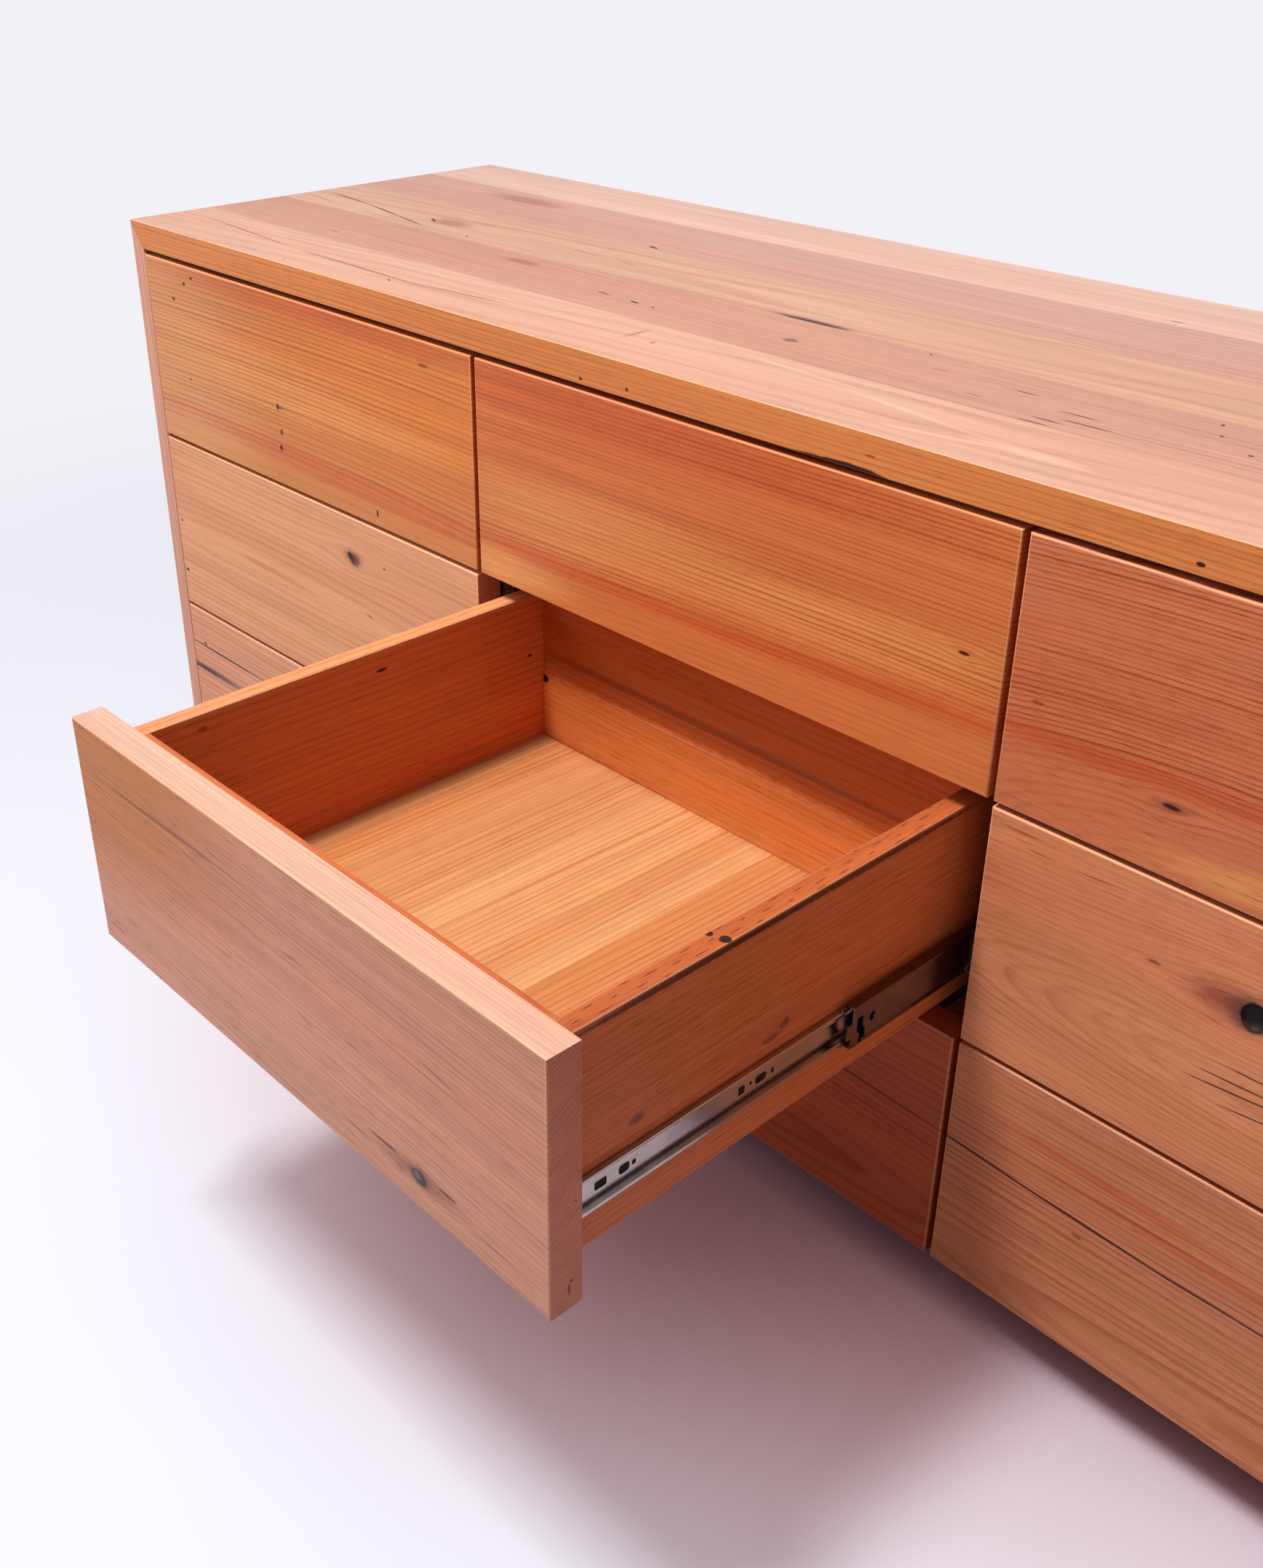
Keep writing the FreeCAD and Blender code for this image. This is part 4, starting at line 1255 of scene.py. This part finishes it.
def add_pair(mesh, pattern, box, reach, height):
    """Adds a slide member at the right end of a box and its mirror image at the left end."""
    low, high = box
    copy_in(mesh, pattern, (high.x - reach * MM, low.y, height))
    copy_in(mesh, pattern, (low.x + reach * MM, low.y, height), mirrored=True)


def mid_height(box):
    """The height of a box's middle."""
    return (box[0].z + box[1].z) / 2


RUNNER_REACH = 5.0
RUNNER_HALF = 14.0
# The runners' slots are sunk, with a dark floor this far from the drawer box: painted shade in place of an
# opening
SLOT_FLOOR = 0.3
RUNNER_SLOTS = [((SLOT_FLOOR, 3), back, up, rounded) for back, up, rounded in (
    ((25, 35), (-3.4, 3.4), 1.6), ((45, 54), (-3.6, 3.6), 2.4), ((56, 59.5), (-2, 2), 1.2),
    ((150.5, 156.5), (-3.4, 3.4), 0.6), ((161, 163.4), (-0.4, 2.2), 0.8),
    ((166.5, 177.5), (-3.4, 3.4), 3.0), ((182, 184.6), (-2.3, 2.3), 1.0),
    ((300, 306), (-3.4, 3.4), 0.6), ((340, 352), (-3.4, 3.4), 3.0),
)]


class CHEST_OT_runners(bpy.types.Operator):
    """Make the slide members that are fixed to the drawer boxes"""

    bl_idname = "chest.runners"
    bl_label = "Slide Runners"

    def execute(self, context):
        low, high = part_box(f"{DRAWERS[0]}_runners")
        lip = settings().sizes.runner_lip / MM
        profile = (
            (RUNNER_REACH, RUNNER_HALF - lip), (RUNNER_REACH, RUNNER_HALF), (0, RUNNER_HALF),
            (0, -RUNNER_HALF), (RUNNER_REACH, -RUNNER_HALF), (RUNNER_REACH, -RUNNER_HALF + lip),
        )
        mesh = sheet_channel(profile, high.y - low.y)
        cut_slots(mesh, RUNNER_SLOTS)
        for face in mesh.faces:
            centre = face.calc_center_median() / MM
            deep = centre.x < SLOT_FLOOR + 0.1 and face.normal.x > FACING
            inside = any(back[0] < centre.y < back[1] and up[0] < centre.z < up[1]
                         for _, back, up, _ in RUNNER_SLOTS)
            face.material_index = int(deep and inside)
        pattern = to_data(mesh, "runner")
        # The slots' floors take a near-black zinc: painted shade
        zincs = [zinc("runner_zinc", (186, 180, 178), 0.2), zinc("slide_slot_painted_shade", (38, 32, 30), 0.5)]
        for drawer in DRAWERS:
            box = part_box(f"{drawer}_runners")
            pair = start_mesh()
            add_pair(pair, pattern, box, RUNNER_REACH, mid_height(box))
            finish_piece(pair, f"{drawer}_slide_runners", f"{drawer}_drawer",
                         [f"{drawer}_runners"], zincs)
        bpy.data.meshes.remove(pattern)
        return {"FINISHED"}


CARRIER_REACH = 10.8
CARRIER_START = 3.0
CARRIER_HALF = 17.5
CARRIER_FOLD = 6.5
CARRIER_LEAN = 1.3
CARRIER_WEB = (8, 12)
CARRIER_WIDTH = (2, 12)
# The first four slots shape the front end
CARRIER_SLOTS = (
    (CARRIER_WEB, (-3, 6), (6, 19), 0.8), (CARRIER_WEB, (-3, 5), (-19, -6), 0.8),
    (CARRIER_WIDTH, (-3, 6), (-19, -16), 0.3), (CARRIER_WIDTH, (-3, 6), (16, 19), 0.3),
    (CARRIER_WEB, (10, 17), (-5, 8), 2.2), (CARRIER_WEB, (13, 19), (-15.5, -2), 2.2),
    (CARRIER_WEB, (23.5, 29.5), (-1.5, 5.5), 2.6), (CARRIER_WEB, (200, 206), (-3, 3), 2.6),
    (CARRIER_WEB, (372, 386), (-3, 3), 2.6),
)
CAGES = (
    ((3.3, 4.9), (0.0, 134.8), (14.3, 16.2)), ((3.3, 4.9), (0.0, 134.8), (-16.2, -14.3)),
    ((5.3, 8.3), (164.8, 400.0), (17.6, 20.9)), ((5.3, 8.3), (164.8, 400.0), (-20.9, -17.6)),
)
CAGE_ROUND = 0.4 * MM


class CHEST_OT_carriers(bpy.types.Operator):
    """Make the middle slide members with their ball cages"""

    bl_idname = "chest.carriers"
    bl_label = "Slide Carriers"

    def execute(self, context):
        low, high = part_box(f"{DRAWERS[0]}_carriers")
        profile = (
            (CARRIER_START, CARRIER_HALF), (CARRIER_REACH, CARRIER_HALF),
            (CARRIER_REACH, -CARRIER_HALF + CARRIER_FOLD), (CARRIER_REACH - CARRIER_LEAN, -CARRIER_HALF),
            (CARRIER_START, -CARRIER_HALF),
        )
        mesh = sheet_channel(profile, high.y - low.y)
        cut_slots(mesh, CARRIER_SLOTS)
        for cage in CAGES:
            add_board(mesh, *between(*cage), CAGE_ROUND)
        pattern = to_data(mesh, "carrier")
        # The carriers' zinc is darkened and browned: a painted reflection of the timber and shade round them
        zincs = [zinc("carrier_zinc", (122, 102, 94), 0.24)]
        for drawer in DRAWERS:
            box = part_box(f"{drawer}_carriers")
            pair = start_mesh()
            add_pair(pair, pattern, box, CARRIER_REACH, mid_height(box))
            finish_piece(pair, f"{drawer}_slide_carriers", f"{drawer}_carriage",
                         [f"{drawer}_carriers"], zincs)
        bpy.data.meshes.remove(pattern)
        return {"FINISHED"}


RAIL_REACH = 13.0
RAIL_START = 5.0
RAIL_HALF = 22.5
RAIL_SLOTS = [((11, 14), (start, start + 12), (-3, 3), 2.6) for start in (20, 120, 250, 360)]


class CHEST_OT_rails(bpy.types.Operator):
    """Make the slide members that are fixed to the case"""

    bl_idname = "chest.rails"
    bl_label = "Slide Rails"

    def execute(self, context):
        low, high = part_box("left_slide_rails")
        profile = (
            (RAIL_START, RAIL_HALF), (RAIL_REACH, RAIL_HALF),
            (RAIL_REACH, -RAIL_HALF), (RAIL_START, -RAIL_HALF),
        )
        mesh = sheet_channel(profile, high.y - low.y)
        cut_slots(mesh, RAIL_SLOTS)
        pattern = to_data(mesh, "rail")
        zincs = [zinc("rail_zinc", (150, 142, 138), 0.24)]
        for column in COLUMNS:
            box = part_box(f"{column}_slide_rails")
            rails = start_mesh()
            for row in ROWS:
                add_pair(rails, pattern, box, RAIL_REACH, mid_height(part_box(f"{column}_{row}_runners")))
            finish_piece(rails, f"{column}_cabinet_rails", "case",
                         [f"{column}_slide_rails"], zincs)
        bpy.data.meshes.remove(pattern)
        return {"FINISHED"}


# Stage

FLOOR_RADIUS = 40.0
FLOOR_SIDES = 96
IMAGE_WIDTH = 1736
IMAGE_HEIGHT = 2155
SENSOR = 36.0
FOCAL_PIXELS = 2242.26
CENTRE_PIXEL = (787.81, 1037.16)
# The camera's place in metres and its angles in degrees
CAMERA_PLACE = (0.77475, -1.07393, 1.01951)
CAMERA_ANGLES = (61.00135, 0.23784, 47.76859)
SIGHT = 200.0
KEY_PLACE = (-0.52, -1.16, 3.2)
KEY_SIZE = (0.95, 0.4)
KEY_AIM = (1.6, -0.1, 0.0)
FILL_PLACE = (-3.0, -2.5, 2.2)
FILL_SIZE = (2.4, 1.8)
FILL_AIM = (0, -0.4, 0.3)
SKY_TINT = opaque((1.0, 0.985, 1.0))
BLACK = opaque((0.0, 0.0, 0.0))
MOTTLE_TINT = opaque(shade(210, 196, 206))
MOTTLE_WAVES = 1.7
# Between these distances from the middle the floor turns to the backdrop
OPEN_FLOOR = (0.8, 2.5)
# How far the floor looks round for what shuts it in, and the open shares between which each tone of its
# painted shade gives way
SHUT_IN_REACH = 0.8
SHADED_SHARES = (0.1, 0.6)
SHADOW_SHARES = (0.12, 0.48)
HALF_SHADOW_SHARES = (0.24, 0.82)


def pale_floor():
    """A pale matt floor that turns to the backdrop far off. It glows for the camera, and where the chest
    shuts it in, its colour and glow darken: painted light and painted shadow over the lamps' own shadows.
    """
    stage = settings().stage
    material, tree, shader = new_material("pale_floor")
    place = node(tree, "ShaderNodeTexCoord")["Object"]
    mottle = noise(scaled(place, MOTTLE_WAVES), 3.0)["Fac"]
    path = node(tree, "ShaderNodeLightPath")
    shown = calc("MAXIMUM", path["Is Camera Ray"], path["Is Glossy Ray"])
    far = ramp(vector_calc("LENGTH", place), *OPEN_FLOOR)
    reach = (("Distance", SHUT_IN_REACH),)
    open_share = node(tree, "ShaderNodeAmbientOcclusion", reach, samples=8)["AO"]
    # Painted shade: the floor's colour darkens where the chest shuts it in
    base = mix(ramp(open_share, *SHADED_SHARES), opaque(stage.shaded_floor), opaque(stage.floor))
    base = mix(shown, opaque(stage.bounce), base)
    base = mix(mottle * 0.06, base, MOTTLE_TINT)
    base = mix(far * shown, base, BLACK)
    # Painted light and shadow: the floor glows, less under the drawer and least where the chest shuts it in
    glow = mix(ramp(open_share, *SHADOW_SHARES), opaque(stage.shadow), opaque(stage.half_shadow))
    glow = mix(ramp(open_share, *HALF_SHADOW_SHARES), glow, opaque(stage.glow))
    glow = mix(far, glow, opaque(stage.backdrop))
    base.feed(shader.inputs["Base Color"])
    glow.feed(shader.inputs["Emission Color"])
    shown.feed(shader.inputs["Emission Strength"])
    shader.inputs["Roughness"].default_value = 0.85
    shader.inputs["Specular IOR Level"].default_value = 0.0
    return material


def make_world(stage):
    """Even light from all round, and a pale backdrop for what the camera or a gloss sees of it."""
    world = bpy.data.worlds.new("studio")
    bpy.context.scene.world = world
    world.use_nodes = True
    tree = world.node_tree
    lit = tree.nodes["Background"]
    lit.inputs["Color"].default_value = SKY_TINT
    lit.inputs["Strength"].default_value = stage.sky
    path = node(tree, "ShaderNodeLightPath")
    gleam = path["Is Glossy Ray"] * (stage.gleam - 1.0) + 1.0
    inputs = (("Color", opaque(stage.backdrop)), ("Strength", gleam))
    seen = node(tree, "ShaderNodeBackground", inputs)[0]
    shown = calc("MAXIMUM", path["Is Camera Ray"], path["Is Transmission Ray"])
    shown = calc("MAXIMUM", shown, path["Is Glossy Ray"])
    inputs = ((0, shown), (1, Value(tree, lit.outputs[0])), (2, seen))
    both = node(tree, "ShaderNodeMixShader", inputs)[0]
    both.feed(tree.nodes["World Output"].inputs["Surface"])


class CHEST_OT_stage(bpy.types.Operator):
    """Make the floor, the lamps, the world and the camera"""

    bl_idname = "chest.stage"
    bl_label = "Stage"

    def execute(self, context):
        scene = bpy.context.scene
        stage = settings().stage
        mesh = bmesh.new()
        bmesh.ops.create_circle(mesh, cap_ends=True, segments=FLOOR_SIDES, radius=FLOOR_RADIUS)
        data = to_data(mesh, "floor")
        data.materials.append(pale_floor())
        floor = bpy.data.objects.new("floor", data)
        scene.collection.objects.link(floor)

        self.add_lamp(scene, "key", stage.key, KEY_SIZE, KEY_PLACE, KEY_AIM)
        self.add_lamp(scene, "fill", stage.fill, FILL_SIZE, FILL_PLACE, FILL_AIM)
        make_world(stage)
        self.make_camera(scene)
        scene.view_settings.view_transform = "Standard"
        return {"FINISHED"}

    def add_lamp(self, scene, name, power, size, place, aim):
        """A rectangular soft lamp that looks at a point."""
        light = bpy.data.lights.new(name, "AREA")
        light.energy = power
        light.shape = "RECTANGLE"
        light.size, light.size_y = size
        lamp = bpy.data.objects.new(name, light)
        lamp.location = place
        lamp.rotation_euler = (Vector(aim) - Vector(place)).to_track_quat("-Z", "Y").to_euler()
        scene.collection.objects.link(lamp)

    def make_camera(self, scene):
        """The camera, which looks down on the open drawer from the front right."""
        view = bpy.data.cameras.new("camera")
        view.sensor_width = SENSOR
        view.lens = FOCAL_PIXELS * SENSOR / IMAGE_HEIGHT
        view.shift_x = (IMAGE_WIDTH / 2 - CENTRE_PIXEL[0]) / IMAGE_HEIGHT
        view.shift_y = (CENTRE_PIXEL[1] - IMAGE_HEIGHT / 2) / IMAGE_HEIGHT
        view.clip_end = SIGHT
        camera = bpy.data.objects.new("camera", view)
        turn = Euler([math.radians(angle) for angle in CAMERA_ANGLES])
        camera.matrix_world = Matrix.Translation(CAMERA_PLACE) @ turn.to_matrix().to_4x4()
        scene.collection.objects.link(camera)
        scene.camera = camera


OPERATORS = (
    CHEST_OT_top, CHEST_OT_sides, CHEST_OT_inside, CHEST_OT_back_screws, CHEST_OT_plinth,
    CHEST_OT_fronts, CHEST_OT_boxes, CHEST_OT_bottoms,
    CHEST_OT_runners, CHEST_OT_carriers, CHEST_OT_rails, CHEST_OT_stage,
)


class CHEST_PT_panel(bpy.types.Panel):
    """The chest's settings and the operators that make its pieces"""

    bl_idname = "CHEST_PT_panel"
    bl_label = "Timber Chest"
    bl_space_type = "VIEW_3D"
    bl_region_type = "UI"
    bl_category = "Chest"

    def draw(self, context):
        chest = context.scene.timber_chest
        for group in (chest.sizes, chest.timber, chest.stage):
            column = self.layout.column(align=True)
            for name in group.__annotations__:
                column.prop(group, name)
        for operator in OPERATORS:
            self.layout.operator(operator.bl_idname)


CLASSES = (ChestSizes, ChestTimber, ChestStage, ChestSettings) + OPERATORS + (CHEST_PT_panel,)


def register():
    """Makes the settings, operators and panel known to Blender."""
    for each in CLASSES:
        bpy.utils.register_class(each)
    bpy.types.Scene.timber_chest = PointerProperty(type=ChestSettings)


def unregister():
    """Takes the settings, operators and panel out of Blender again."""
    del bpy.types.Scene.timber_chest
    for each in reversed(CLASSES):
        bpy.utils.unregister_class(each)


def main():
    """Makes every piece and the stage."""
    register()
    bpy.ops.chest.top()
    bpy.ops.chest.sides()
    bpy.ops.chest.inside()
    bpy.ops.chest.back_screws()
    bpy.ops.chest.plinth()
    bpy.ops.chest.fronts()
    bpy.ops.chest.boxes()
    bpy.ops.chest.bottoms()
    bpy.ops.chest.runners()
    bpy.ops.chest.carriers()
    bpy.ops.chest.rails()
    bpy.ops.chest.stage()


if __name__ == "__main__":
    main()
